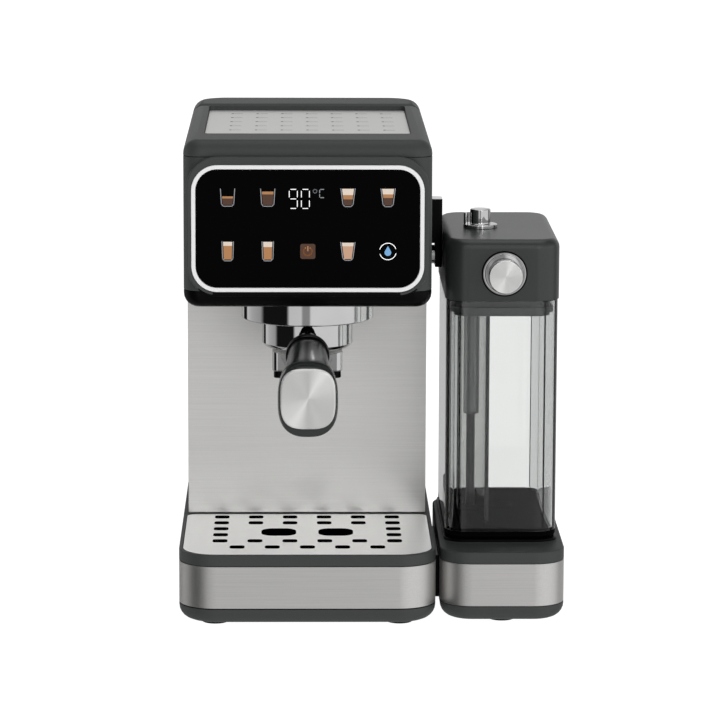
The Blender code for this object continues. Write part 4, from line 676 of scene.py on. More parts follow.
def put(
    name: str, mesh: bpy.types.Mesh, finish: Finish, body: str, origin: Sequence[float] | None = None
) -> bpy.types.Object:
    """Adds a piece to the scene on a body.

    Args:
        name: the piece's name.
        mesh: its mesh, in the frame's own coordinates.
        finish: its material.
        body: the body it moves with.
        origin: where its own origin goes, which a turned pattern is centred on.

    Returns:
        The piece.
    """
    shaded(mesh)
    mesh.materials.clear()
    mesh.materials.append(finish.material())
    piece = bpy.data.objects.new(name, mesh)
    if origin is not None:
        mesh.transform(Matrix.Translation(-Vector(origin)))
        piece.location = origin
    bpy.context.scene.collection.objects.link(piece)
    flats = piece.modifiers.new("flat_faces", "WEIGHTED_NORMAL")
    flats.keep_sharp = True
    flats.weight = 100
    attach(piece, body)
    LOG.info("%s rides on %s", name, body)
    return piece


def face_finish(
    piece: bpy.types.Object, finish: Finish, chosen: Callable[[bpy.types.MeshPolygon], bool]
) -> None:
    """Gives the chosen faces of a piece a second finish.

    Args:
        piece: the piece.
        finish: the second finish.
        chosen: says whether a face gets it.
    """
    piece.data.materials.append(finish.material())
    for face in piece.data.polygons:
        if chosen(face):
            face.material_index = len(piece.data.materials) - 1


def stand_for(
    node: str, mesh: bpy.types.Mesh, finish: Finish, origin: Sequence[float] | None = None
) -> bpy.types.Object:
    """Adds a piece that takes a CAD node's place, on the node's own body.

    Args:
        node: the CAD node.
        mesh: the piece's mesh.
        finish: its material.
        origin: where its own origin goes, if not at the frame's.

    Returns:
        The piece.
    """
    piece = put(f"{node}_skin", mesh, finish, BODY_OF[node], origin)
    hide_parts(node)
    return piece


def dress(node: str, finish: Finish) -> None:
    """Gives a CAD node that keeps its own shape a finish and smooth shading.

    Args:
        node: the CAD node.
        finish: its material.
    """
    item = frame["nodes"][node]
    item.data.materials.clear()
    item.data.materials.append(finish.material())
    shaded(item.data)
    LOG.info("%s keeps its shape, in %s", node, finish.name)


def centre_of(node: str) -> Vector:
    """The middle of a CAD node's box."""
    low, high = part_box(node)
    return (low + high) / 2


def radius_of(node: str) -> float:
    """Half the width of a CAD node's box."""
    low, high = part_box(node)
    return (high.x - low.x) / 2


def inset(box: Box, wall: float, below: float = 0.0, above: float = 0.0) -> Box:
    """A box shrunk sideways by a wall, with its floor and top moved by their own amounts.

    Args:
        box: its lowest and highest corners.
        wall: how far the sides move in.
        below: how far the floor moves up.
        above: how far the top moves up.

    Returns:
        The new corners.
    """
    low, high = box
    inner_low = Vector((low.x + wall, low.y + wall, low.z + below))
    inner_high = Vector((high.x - wall, high.y - wall, high.z + above))
    return inner_low, inner_high


@dataclass
class MainBase:
    """Pan, pull-out tray with its band and grate, rear base with its band, and feet."""

    corner: float = 25 * MM
    heel: float = 9 * MM
    sheet: float = 1.0 * MM
    tray_wall: float = 4.0 * MM
    tray_floor: float = 3.0 * MM
    rim: float = 2.5 * MM
    ledge_depth: float = 1.5 * MM
    well_corner: float = 6 * MM
    slot_size: float = 9.9 * MM
    slot_corner: float = 2.4 * MM
    slot_pitch: Point = (23.3 * MM, 18.9 * MM)
    front_row: float = 25.8 * MM
    slot_counts: Sequence[int] = (5, 6, 6, 6, 6, 6)
    drain_rows: Sequence[int] = (2, 3)
    drain_half: float = 11.7 * MM
    drain_corner: float = 8.0 * MM
    drain_offset: float = 19.2 * MM

    def build(self) -> None:
        """Builds every piece of the base."""
        pan = rounded_box(*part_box("base_pan"), Rounding(self.corner, self.corner, 0.0, self.heel))
        stand_for("base_pan", softened(pan, width=0.3 * MM), CHARCOAL_ABS)
        self.build_tray()
        self.build_grate()
        self.build_rear()
        for node in BODY_OF:
            if "foot" in node:
                self.build_foot(node)

    def band(self, node: str, rounding: Rounding, open_front: bool, open_back: bool) -> None:
        """Builds a bent steel strip in a CAD band's place.

        Args:
            node: the CAD band.
            rounding: the base's plan corners.
            open_front: whether it has no front run.
            open_back: whether it has no back run.
        """
        low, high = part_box(node)
        outer = rounded_box(low, high, rounding)
        inner_low, inner_high = inset((low, high), self.sheet, -PAST, PAST)
        inner_low.y = low.y - PAST if open_front else inner_low.y
        inner_high.y = high.y + PAST if open_back else inner_high.y
        strip = combined(outer, [rounded_box(inner_low, inner_high, rounding.less(self.sheet))])
        stand_for(node, softened(strip, width=0.25 * MM, angle=60.0), BAND_STEEL)

    def groove(
        self, node: str, band: str, rounding: Rounding, open_front: bool, open_back: bool
    ) -> bpy.types.Mesh:
        """Makes the cutter of a band's seat in the base that carries it.

        Args:
            node: the base.
            band: the CAD band.
            rounding: the base's plan corners.
            open_front: whether it has no front run.
            open_back: whether it has no back run.

        Returns:
            The cutter.
        """
        low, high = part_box(band)
        out = 2 * MM
        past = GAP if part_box(node)[0].z < low.z - MM else PAST
        wide_low = Vector((low.x - out, low.y - out, low.z - past))
        wide_high = Vector((high.x + out, high.y + out, high.z + GAP))
        wide = Rounding(rounding.front + out, rounding.back + out)
        core_low, core_high = inset((low, high), self.sheet + GAP, -2 * PAST, 2 * PAST)
        core_low.y = low.y - PAST if open_front else core_low.y
        core_high.y = high.y + PAST if open_back else core_high.y
        core = rounded_box(core_low, core_high, rounding.less(self.sheet + GAP))
        return combined(rounded_box(wide_low, wide_high, wide), [core])

    def build_tray(self) -> None:
        """Builds the tub and its band."""
        shape = Rounding(front=self.corner)
        low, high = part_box("tray_tub")
        well = inset((low, high), self.tray_wall, self.tray_floor, PAST)
        ledge = inset((low, high), self.rim, high.z - low.z - self.ledge_depth, PAST)
        tub = combined(
            rounded_box(low, high, shape),
            [
                rounded_box(*well, Rounding(self.corner - self.tray_wall, self.well_corner)),
                rounded_box(*ledge, Rounding(self.corner - self.rim, self.well_corner)),
                self.groove("tray_tub", "tray_band", shape, False, True),
            ],
        )
        bowl = stand_for("tray_tub", softened(tub, width=0.5 * MM), CHARCOAL_ABS)
        middle = centre_of("tray_tub")
        below = high.z - self.ledge_depth - 0.5 * MM
        # The well's floor and inner walls are painted black: painted shade under the grate
        face_finish(
            bowl,
            SHADE_BLACK,
            lambda item: item.center.z < below
            and (item.normal.z > 0.5 or item.normal.xy.dot(middle.xy - item.center.xy) > 0),
        )
        self.band("tray_band", shape, False, True)

    def build_grate(self) -> None:
        """Builds the slotted plate, with its slots and drains cut through."""
        low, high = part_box("tray_grate")
        centre = centre_of("tray_grate").x
        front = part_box("tray_tub")[0].y
        slot = Rounding(self.slot_corner, self.slot_corner, corner_steps=6)
        drain = Rounding(self.drain_corner, self.drain_corner)
        holes = []
        for row, count in enumerate(self.slot_counts):
            y = front + self.front_row + row * self.slot_pitch[1]
            for column in range(count):
                if row in self.drain_rows and 0 < column < count - 1:
                    continue
                x = centre + (column - (count - 1) / 2) * self.slot_pitch[0]
                holes.append((x, y, self.slot_size / 2, slot))
        below_spouts = centre_of("group_collar").y
        for side in (-1, 1):
            holes.append((centre + side * self.drain_offset, below_spouts, self.drain_half, drain))
        cutter = bmesh.new()
        for x, y, half, rounding in holes:
            hole_low = (x - half, y - half, low.z - PAST)
            hole_high = (x + half, y + half, high.z + PAST)
            cutter.from_mesh(rounded_box(hole_low, hole_high, rounding))
        plate = rounded_box(low, high, Rounding(self.corner - self.rim - GAP, self.well_corner - GAP))
        grate = combined(plate, [mesh_of(cutter)])
        sheet = stand_for("tray_grate", grate, FLAT_STEEL)
        # The walls of the slots and drains, and the plate's edge, are painted black: painted shade
        face_finish(sheet, SHADE_BLACK, lambda item: abs(item.normal.z) < 0.5)

    def build_rear(self) -> None:
        """Builds the rear base and its band."""
        shape = Rounding(back=self.corner)
        low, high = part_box("rear_base")
        seat = centre_of("water_seat")
        pocket = rod(
            radius_of("water_seat") + GAP,
            (seat.x, seat.y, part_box("water_seat")[0].z - GAP),
            (seat.x, seat.y, high.z + PAST),
        )
        groove = self.groove("rear_base", "rear_band", shape, True, False)
        base = combined(rounded_box(low, high, shape), [groove, pocket])
        stand_for("rear_base", softened(base, width=0.5 * MM), CHARCOAL_ABS)
        self.band("rear_band", shape, True, False)

    def build_foot(self, node: str) -> None:
        """Builds a rubber foot with a rounded sole and a dished middle.

        Args:
            node: the CAD foot.
        """
        low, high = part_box(node)
        centre = centre_of(node)
        radius = radius_of(node)
        height = high.z - low.z
        edge = 0.8 * MM
        dish = 0.4 * MM
        profile = [
            (0.0, height),
            (radius, height),
            *arc((radius - edge, edge), edge, 0, -90, 4),
            (0.6 * radius, 0.0),
            (0.5 * radius, dish),
            (0.0, dish),
        ]
        foot = turned(profile, steps=48)
        foot.transform(Matrix.Translation((centre.x, centre.y, low.z)))
        stand_for(node, foot, RUBBER)


@dataclass
class MilkBase:
    """The milk tank's base, its platform, band and bridge."""

    corner: float = 21 * MM
    heel: float = 9 * MM
    platform_step: float = 3 * MM
    platform_corner: float = 15 * MM
    platform_root: float = 6 * MM
    platform_side: float = 1 * MM
    rim_height: float = 50 * MM
    rim_edge: float = 1.2 * MM

    def build(self, main: MainBase) -> None:
        """Builds the base, with a band and seat made as on the main base.

        Args:
            main: the main base, which makes bands and their seats.
        """
        shape = Rounding(self.corner, self.corner)
        low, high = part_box("milk_base")
        tank_low, tank_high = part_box("milk_tank")
        body_high = (high.x, high.y, self.rim_height)
        body = rounded_box(low, body_high, Rounding(self.corner, self.corner, self.rim_edge, self.heel))
        side = self.platform_side
        platform = rounded_box(
            (tank_low.x - side, tank_low.y - self.platform_step, self.rim_height - self.platform_root),
            (tank_high.x + side, tank_high.y + side, high.z),
            Rounding(self.platform_corner, self.platform_corner),
        )
        body = combined(body, [platform], "UNION")
        body = combined(body, [main.groove("milk_base", "milk_band", shape, False, False)])
        base = stand_for("milk_base", softened(body, width=0.3 * MM), CHARCOAL_ABS)
        face_finish(base, BLACK_ABS, lambda face: face.center.z > self.rim_height + 0.2 * MM)
        main.band("milk_band", shape, False, False)
        bridge = rounded_box(*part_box("base_bridge"), Rounding())
        stand_for("base_bridge", softened(bridge, width=0.4 * MM), BLACK_ABS)


@dataclass
class Column:
    """Splash-back sheet and the rear housing behind it."""

    wall: float = 2.5 * MM

    def build(self) -> None:
        """Builds both pieces."""
        sheet = rounded_box(*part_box("splash_back"), Rounding())
        stand_for("splash_back", softened(sheet, width=0.25 * MM), BRUSHED_STEEL)
        low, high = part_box("rear_housing")
        room_low, room_high = inset((low, high), self.wall, self.wall, PAST)
        room_low.y = low.y - PAST
        room = rounded_box(room_low, room_high, Rounding())
        housing = combined(rounded_box(low, high, Rounding()), [room])
        stand_for("rear_housing", softened(housing, width=0.8 * MM, steps=3), CHARCOAL_ABS)


@dataclass
class Head:
    """Bottom cover, shell, top cover with its recess, and the warming plate."""

    corner: float = HEAD_CORNER
    edge: float = 9 * MM
    wall: float = 3 * MM
    passage_half: float = 66 * MM
    passage_depth: float = 72 * MM
    passage_back: float = 10 * MM
    plate_corner: float = 4 * MM
    dot_columns: int = 7
    dot_rows: int = 6
    dot_radius: float = 1.0 * MM
    dash_radius: float = 0.2 * MM
    dash_length: float = 7.0 * MM
    dot_pitch: Point = (17.2 * MM, 26.0 * MM)
    emboss: float = 0.2 * MM

    def build(self) -> None:
        """Builds every piece of the head."""
        self.build_bottom()
        self.build_shell()
        self.build_top()
        self.build_plate()

    def build_bottom(self) -> None:
        """Builds the bottom cover, with the brew stem's hole and the hose passage."""
        low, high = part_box("head_bottom")
        shape = Rounding(front=self.corner, bottom=self.edge)
        room = inset((low, high), self.wall, self.wall, PAST)
        centre = centre_of("group_gasket")
        stem = rod(STEM_RADIUS, (centre.x, centre.y, low.z - PAST), (centre.x, centre.y, high.z))
        back = high.y - self.passage_back
        passage = rounded_box(
            (centre.x - self.passage_half, back - self.passage_depth, low.z - PAST),
            (centre.x + self.passage_half, back, high.z),
            Rounding(),
        )
        hollow = rounded_box(*room, shape.less(self.wall))
        cover = combined(rounded_box(low, high, shape), [hollow, stem, passage])
        stand_for("head_bottom", softened(cover, width=0.3 * MM), BLACK_ABS)

    def build_shell(self) -> None:
        """Builds the open shell between the two covers."""
        low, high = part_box("head_shell")
        shape = Rounding(front=self.corner)
        room = inset((low, high), self.wall, -PAST, PAST)
        bore = centre_of("steam_nozzle")
        reach = 10 * MM
        hole = rod(NOZZLE_BORE, (high.x - reach, bore.y, bore.z), (high.x + reach, bore.y, bore.z))
        shell = combined(rounded_box(low, high, shape), [rounded_box(*room, shape.less(self.wall)), hole])
        stand_for("head_shell", softened(shell, width=0.4 * MM), CHARCOAL_ABS)

    def build_top(self) -> None:
        """Builds the top cover with the plate's recess."""
        low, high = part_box("top_cover")
        plate_low, plate_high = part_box("warming_plate")
        recess = rounded_box(
            (plate_low.x - GAP, plate_low.y - GAP, plate_low.z - GAP),
            (plate_high.x + GAP, plate_high.y + GAP, high.z + PAST),
            Rounding(self.plate_corner, self.plate_corner),
        )
        cover = combined(rounded_box(low, high, Rounding(front=self.corner, top=self.edge)), [recess])
        stand_for("top_cover", softened(cover, width=0.5 * MM), CHARCOAL_ABS)

    def build_plate(self) -> None:
        """Builds the warming plate with its rows of low rubber studs and dashes."""
        low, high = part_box("warming_plate")
        plate = rounded_box(low, high, Rounding(self.plate_corner, self.plate_corner))
        stand_for("warming_plate", softened(plate, width=0.25 * MM, angle=60.0), ROLLED_STEEL)
        studs = bmesh.new()
        centre = centre_of("warming_plate")
        for column in range(self.dot_columns):
            for row in range(self.dot_rows):
                x = centre.x + (column - (self.dot_columns - 1) / 2) * self.dot_pitch[0]
                y = centre.y + (row - (self.dot_rows - 1) / 2) * self.dot_pitch[1]
                self.add_bump(studs, Vector((x, y, high.z)), self.dot_radius, 0.0)
                dash = Vector((x + self.dash_length / 2, y, high.z))
                self.add_bump(studs, dash, self.dash_radius, self.dash_length / 2)
        put("warming_plate_studs", mesh_of(studs), RUBBER, BODY_OF["warming_plate"])

    def add_bump(self, shape: bmesh.types.BMesh, place: Vector, radius: float, stretch: float) -> None:
        """Adds one low rubber stud, stretched sideways into a dash.

        Args:
            shape: the bmesh that gathers the studs.
            place: middle of its foot.
            radius: its radius.
            stretch: how far each half is moved out, which makes a dash.
        """
        made = bmesh.ops.create_uvsphere(shape, u_segments=16, v_segments=8, radius=radius)
        for vert in made["verts"]:
            vert.co.x += math.copysign(stretch, vert.co.x) if abs(vert.co.x) > 1e-7 else 0.0
            vert.co.z *= min(self.emboss / radius, 0.4)
            vert.co += place


@dataclass
class Display:
    """Surround, pale frame, glass and its lit symbols."""

    surround: float = 3.0 * MM
    frame_width: float = 2.75 * MM
    frame_corner: float = 16.9 * MM
    bezel_edge: float = 1.0 * MM
    bezel_foot: float = 2.0 * MM
    glass_edge: float = 0.25 * MM
    column_pitch: float = 25.9 * MM
    row_heights: Point = (286.0 * MM, 251.0 * MM)
    stroke: float = 0.5 * MM
    film: float = 0.06 * MM
    face: float = field(init=False)
    marks: dict[Finish, bmesh.types.BMesh] = field(default_factory=lambda: defaultdict(bmesh.new))

    def build(self) -> None:
        """Builds every piece of the display."""
        low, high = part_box("display_bezel")
        frame_low, frame_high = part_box("display_frame")
        clear = Vector((GAP, GAP, GAP))
        head_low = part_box("head_bottom")[0] - clear
        head_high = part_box("top_cover")[1] + clear
        head = rounded_box(head_low, head_high, Rounding(front=HEAD_CORNER + GAP))
        window = standing_plate(
            (frame_low.x - GAP, low.y - PAST, frame_low.z - GAP),
            (frame_high.x + GAP, high.y + PAST, frame_high.z + GAP),
            self.frame_corner + GAP,
        )
        plate = standing_plate(low, high, self.frame_corner + self.surround, self.bezel_edge)
        bezel = combined(plate, [head, window])
        surround = stand_for("display_bezel", softened(bezel, width=0.2 * MM), CHARCOAL_ABS)
        face_finish(surround, BLACK_ABS, lambda item: item.center.z < frame_low.z + self.bezel_foot)
        inner = self.frame_width
        hole = standing_plate(
            (frame_low.x + inner, frame_low.y - PAST, frame_low.z + inner),
            (frame_high.x - inner, frame_high.y + PAST, frame_high.z - inner),
            self.frame_corner - inner,
        )
        ring = combined(standing_plate(frame_low, frame_high, self.frame_corner), [hole])
        stand_for("display_frame", softened(ring, width=0.5 * MM, steps=3), WHITE_PC)
        glass_low, glass_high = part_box("display_glass")
        glass = standing_plate(glass_low, glass_high, self.frame_corner - inner - GAP, self.glass_edge)
        stand_for("display_glass", glass, BLACK_GLASS)
        self.face = glass_low.y
        self.build_symbols(centre_of("display_glass").x)

    def build_symbols(self, centre: float) -> None:
        """Builds the lit symbols: seven cups, a power mark, a droplet, and two digits with their unit.

        Args:
            centre: the middle of the glass, along X.
        """
        top, bottom = self.row_heights
        # Each glass's width at the top and at the foot, and its height
        short = (9.2 * MM, 7.8 * MM, 11.2 * MM)
        tapered = (9.2 * MM, 6.2 * MM, 11.6 * MM)
        tall = (7.4 * MM, 6.6 * MM, 12.4 * MM)
        cups = (
            (-2, top, short, ((LIT_COFFEE, 0.38), (LIT_TAN, 0.12))),
            (-1, top, short, ((LIT_COFFEE, 0.62), (LIT_TAN, 0.16))),
            (1, top, tapered, ((LIT_COFFEE, 0.34), (LIT_TAN, 0.24), (LIT_FOAM, 0.36))),
            (2, top, tapered, ((LIT_COFFEE, 0.42), (LIT_TAN, 0.20), (LIT_FOAM, 0.32))),
            (-2, bottom, tall, ((LIT_TAN, 0.72), (LIT_FOAM, 0.22))),
            (-1, bottom, tall, ((LIT_TAN, 0.66), (LIT_FOAM, 0.28))),
            (1, bottom, tapered, ((LIT_MILK, 0.72), (LIT_FOAM, 0.20))),
        )
        for column, height, size, layers in cups:
            self.add_cup((centre + column * self.column_pitch, height), size, layers)
        self.add_power((centre, bottom))
        self.add_drop((centre + 2 * self.column_pitch, bottom))
        self.add_digits((centre, top))
        for finish, shape in self.marks.items():
            put(f"display_{finish.name}", mesh_of(shape), finish, BODY_OF["display_glass"])

    def add_patch(self, finish: Finish, points: Sequence[Point]) -> None:
        """Adds a flat lit patch from its outline in the display plane.

        Args:
            finish: its lit colour.
            points: its outline.
        """
        shape = self.marks[finish]
        back = [shape.verts.new((x, self.face, z)) for x, z in points]
        front = [shape.verts.new((x, self.face - self.film, z)) for x, z in points]
        shape.faces.new(back)
        shape.faces.new(front)
        for step in range(len(points)):
            beside = (step + 1) % len(points)
            shape.faces.new((back[step], back[beside], front[beside], front[step]))

    def add_line(self, finish: Finish, points: Sequence[Point], width: float) -> None:
        """Adds a lit line through points of the display plane.

        Args:
            finish: its lit colour.
            points: what it goes through.
            width: its width.
        """
        for start, end in zip(points, points[1:]):
            along = Vector((end[0] - start[0], end[1] - start[1])).normalized() * width / 2
            across = Vector((-along.y, along.x))
            first = Vector(start) - along
            last = Vector(end) + along
            self.add_patch(finish, [first - across, last - across, last + across, first + across])

    def add_cup(
        self, middle: Point, size: tuple[float, float, float], layers: Sequence[tuple[Finish, float]]
    ) -> None:
        """Adds a glass of layered drink.

        Args:
            middle: its centre in the display plane.
            size: its width at the top and at the foot, and its height.
            layers: each drink from the foot up, with its share of the height.
        """
        wide, narrow, tall = size
        foot = middle[1] - tall / 2
        heel = 0.12
        toe = 0.10 * tall

        def side(share: float, inside: float = 0.0) -> float:
            """Half the glass's width at a share of its height, less an inset."""
            return (narrow + (wide - narrow) * share) / 2 - inside

        right = [(side(0) - toe, foot), (side(heel), foot + heel * tall), (side(1), foot + tall)]
        left = [(-x, z) for x, z in reversed(right)]
        self.add_line(LIT_GREY, [(middle[0] + x, z) for x, z in left + right], self.stroke)
        low = 0.07
        for finish, share in layers:
            high = min(low + share, 1.0)
            ends = [(side(at, 1.5 * self.stroke), foot + at * tall) for at in (low, high)]
            left = [(middle[0] - half, z) for half, z in ends]
            right = [(middle[0] + half, z) for half, z in reversed(ends)]
            self.add_patch(finish, left + right)
            low = high

    def add_power(self, middle: Point) -> None:
        """Adds a power mark on a coffee-coloured tile.

        Args:
            middle: its centre in the display plane.
        """
        half = 4.9 * MM
        corner = 1.4 * MM
        radius = 2.7 * MM
        stroke = 0.8 * MM
        tile = []
        for start, x, z in ((0, 1, 1), (90, -1, 1), (180, -1, -1), (270, 1, -1)):
            place = (middle[0] + x * (half - corner), middle[1] + z * (half - corner))
            tile += arc(place, corner, start, start + 90, 4)
        self.add_patch(LIT_COFFEE, tile)
        self.face -= self.film
        self.add_line(LIT_TAN, arc(middle, radius, 125, 415, 24), stroke)
        bar = [(middle[0], middle[1] + 0.2 * radius), (middle[0], middle[1] + 1.15 * radius)]
        self.add_line(LIT_TAN, bar, stroke)
        self.face += self.film

    def add_drop(self, middle: Point) -> None:
        """Adds a droplet in an open ring.

        Args:
            middle: its centre in the display plane.
        """
        ring = 5.4 * MM
        stroke = 0.4 * MM
        for start in (20, 200):
            self.add_line(LIT_WHITE, arc(middle, ring, start, start + 145, 18), stroke)
        belly = arc((middle[0], middle[1] - 0.14 * ring), 0.40 * ring, 155, 385, 16)
        self.add_patch(LIT_BLUE, [(middle[0], middle[1] + 0.66 * ring), *belly])

    def add_digits(self, middle: Point) -> None:
        """Adds two seven-segment digits, and a degree ring with its unit.

        Args:
            middle: the middle of their row in the display plane.
        """
        segments = {
            "a": ((0.2, 1.0), (0.8, 1.0)),
            "b": ((1.0, 0.90), (1.0, 0.60)),
            "c": ((1.0, 0.40), (1.0, 0.10)),
            "d": ((0.2, 0.0), (0.8, 0.0)),
            "e": ((0.0, 0.40), (0.0, 0.10)),
            "f": ((0.0, 0.90), (0.0, 0.60)),
            "g": ((0.2, 0.5), (0.8, 0.5)),
        }
        top = middle[1] + 5.4 * MM
        # Each sign's colour, left end, width, height and lit segments
        signs = (
            (LIT_WHITE, -12.0 * MM, 5.2 * MM, 12.4 * MM, "abcdfg"),
            (LIT_WHITE, -4.2 * MM, 5.2 * MM, 12.4 * MM, "abcdef"),
            (LIT_GREY, 7.6 * MM, 3.2 * MM, 5.4 * MM, "adef"),
        )
        for finish, left, wide, tall, lit in signs:
            for letter in lit:
                ends = [(middle[0] + left + x * wide, top + (z - 1) * tall) for x, z in segments[letter]]
                self.add_line(finish, ends, self.stroke)
        degree = 1.2 * MM
        ring = arc((middle[0] + 4.6 * MM, top - degree), degree, 0, 360, 20)
        self.add_line(LIT_GREY, ring, width=0.4 * MM)


@dataclass
class BrewGroup:
    """The chrome collar with its bayonet ledge."""

    bore: float = 33.0 * MM
    groove: float = 37.3 * MM
    ledge: float = 5.6 * MM
    roof: float = 1.1 * MM
    edge: float = 1.0 * MM
    entry_width: float = 28 * MM
    entry_angle: float = -50.0

    def build(self) -> None:
        """Builds the collar and cuts the two lug entries."""
        low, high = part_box("group_collar")
        axis = centre_of("group_collar")
        radius = radius_of("group_collar")
        height = high.z - low.z
        profile = [
            (STEM_RADIUS, height),
            (radius, height),
            *arc((radius - self.edge, self.edge), self.edge, 0, -90, 5),
            *arc((self.bore + self.edge / 2, self.edge / 2), self.edge / 2, -90, -180, 3),
            (self.bore, self.ledge),
            (self.groove, self.ledge),
            (self.groove, height - self.roof),
            (STEM_RADIUS, height - self.roof),
        ]
        collar = turned(profile, steps=144)
        entries = []
        half = self.entry_width / 2
        for turn in (self.entry_angle, self.entry_angle + 180):
            cut_low = (self.bore - PAST, -half, -PAST)
            cut = rounded_box(cut_low, (self.groove, half, self.ledge + MM), Rounding())
            cut.transform(Matrix.Rotation(math.radians(turn), 4, "Z"))
            entries.append(cut)
        collar = combined(collar, entries)
        collar.transform(Matrix.Translation((axis.x, axis.y, low.z)))
        stand_for("group_collar", collar, CHROME, origin=(axis.x, axis.y, low.z))


@dataclass
class Portafilter:
    """Body with lugs and neck, spouts, ferrule, grip and cap."""

    slope: float = 13.5
    root_height: float = 183 * MM
    ring_radius: float = 30.5 * MM
    ring_bore: float = 26.6 * MM
    ring_bottom: float = 177.5 * MM
    ring_floor: float = 181 * MM
    ring_top: float = 205.6 * MM
    chamfer: float = 3.0 * MM
    spout_neck: float = 8.0 * MM
    spout_wall: float = 3.0 * MM
    lug_radius: float = 36.8 * MM
    lug_angle: float = 34.0
    lug_heights: Point = (202.9 * MM, 205.3 * MM)
    neck_radius: float = 7.8 * MM
    neck_root: float = 2.2 * MM
    neck_end: float = 14.0 * MM
    stud_bore: float = 4.3 * MM
    stud_end: float = 60.6 * MM
    ferrule_radius: float = 14.3 * MM
    ferrule_end: float = 20.0 * MM
    grip_end: float = 95.1 * MM
    grip_start_half: Point = (13.0 * MM, 13.0 * MM)
    grip_half: Point = (19.3 * MM, 22.5 * MM)
    grip_groove: Sequence[Point] = ((0.852, 0.0), (0.856, 0.7 * MM), (0.866, 0.7 * MM), (0.870, 0.0))
    cap_half: Point = (17.6 * MM, 18.8 * MM)
    cap_raise: float = 2.8 * MM
    cap_thick: float = 1.8 * MM
    cap_power: float = 3.2
    spout_notch: float = 4.5 * MM
    spout_corner: float = 4.0 * MM
    spout_edge: float = 1.2 * MM
    tip_wall: float = 1.1 * MM
    tip_edge: float = 0.6 * MM
    axis: Vector = field(init=False)
    place: Matrix = field(init=False)

    def build(self) -> None:
        """Builds every visible piece of the portafilter."""
        basket = centre_of("filter_basket")
        self.axis = Vector((basket.x, basket.y, 0.0))
        root = self.axis + Vector((0, -self.ring_radius, self.root_height))
        self.place = Matrix.Translation(root) @ Matrix.Rotation(math.radians(self.slope), 4, "X")
        self.build_body()
        self.build_spouts()
        self.build_handle()

    def build_body(self) -> None:
        """Builds the turned body, its lugs and the neck to the handle."""
        rim = 0.5 * MM
        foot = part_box("portafilter_body")[0].z
        profile = [
            (self.ring_bore, self.ring_top),
            *arc((self.ring_radius - rim, self.ring_top - rim), rim, 90, 0, 3),
            (self.ring_radius, self.ring_bottom + self.chamfer),
            (self.ring_radius - 0.5 * self.chamfer, self.ring_bottom + 0.3 * self.chamfer),
            (self.ring_radius - self.chamfer, self.ring_bottom),
            (self.spout_neck, self.ring_bottom),
            (self.spout_neck, foot),
            (self.spout_neck - self.spout_wall, foot),
            (self.spout_neck - self.spout_wall, self.ring_floor),
            (self.ring_bore, self.ring_floor),
        ]
        body = turned(profile, steps=128)
        body.transform(Matrix.Translation(self.axis))
        neck = rod(self.neck_radius, (0, self.neck_root, 0), (0, -self.neck_end, 0))
        neck.transform(self.place)
        body = combined(body, [neck, self.lug(0.0), self.lug(180.0)], "UNION")
        stand_for("portafilter_body", body, CHROME)

    def lug(self, turn: float) -> bpy.types.Mesh:
        """Makes one bayonet lug, a sector of a ring.

        Args:
            turn: the angle of its middle, in degrees.

        Returns:
            The mesh.
        """
        start = turn - self.lug_angle / 2
        end = turn + self.lug_angle / 2
        root = self.ring_radius - MM
        outline = arc((0, 0), root, start, end, 8) + arc((0, 0), self.lug_radius, end, start, 8)
        rings = [[self.axis + Vector((x, y, height)) for x, y in outline] for height in self.lug_heights]
        return loft(rings)

    def build_spouts(self) -> None:
        """Builds the twin spout block with its sloping top, and the two black tips."""
        low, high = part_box("spout_block")
        half = radius_of("spout_block")
        corner = self.spout_corner
        block = rounded_box(low, high, Rounding(corner, corner, 0.0, self.spout_edge, 8, 3))
        slope = math.atan2(self.spout_notch, half)
        size = 20 * MM
        wedges = []
        for side in (-1, 1):
            left, right = sorted((-side * 2 * MM, side * 2 * half))
            wedge = rounded_box((left, -size, 0), (right, size, size), Rounding())
            wedge.transform(Matrix.Rotation(-side * slope, 4, "Y"))
            wedge.transform(Matrix.Translation(self.axis + Vector((0, 0, high.z - self.spout_notch))))
            wedges.append(wedge)
        stand_for("spout_block", softened(combined(block, wedges), width=0.4 * MM, steps=3), CHROME)
        for node in ("spout_tip_left", "spout_tip_right"):
            tip_low, tip_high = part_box(node)
            centre = centre_of(node)
            radius = radius_of(node)
            height = tip_high.z - tip_low.z
            bore = radius - self.tip_wall
            edge = self.tip_edge
            profile = [
                (bore, height),
                (radius, height),
                *arc((radius - edge, edge), edge, 0, -90, 4),
                (bore, 0.0),
            ]
            tip = turned(profile, steps=48)
            tip.transform(Matrix.Translation((centre.x, centre.y, tip_low.z)))
            stand_for(node, tip, BLACK_ABS)

    def section(self, distance: float, half: Point, rise: float, lean: float, power: float) -> list[Vector]:
        """Makes one rounded-square ring of the grip, in the handle's own frame.

        Args:
            distance: how far it is along the handle.
            half: half its width and height.
            rise: how far its middle is above the axis.
            lean: how far it leans back for each unit of height.
            power: 2 for an ellipse, more for a squarer ring.

        Returns:
            Its points.
        """
        ring = []
        count = 72
        for step in range(count):
            angle = 2 * math.pi * step / count
            across = math.copysign(abs(math.cos(angle)) ** (2 / power), math.cos(angle))
            up = math.copysign(abs(math.sin(angle)) ** (2 / power), math.sin(angle))
            height = rise + up * half[1]
            ring.append(Vector((across * half[0], lean * height - distance, height)))
        return ring

    def build_handle(self) -> None:
        """Builds the ferrule, the flaring grip and its spun cap."""
        self.build_ferrule()
        self.build_grip()
        self.build_cap()

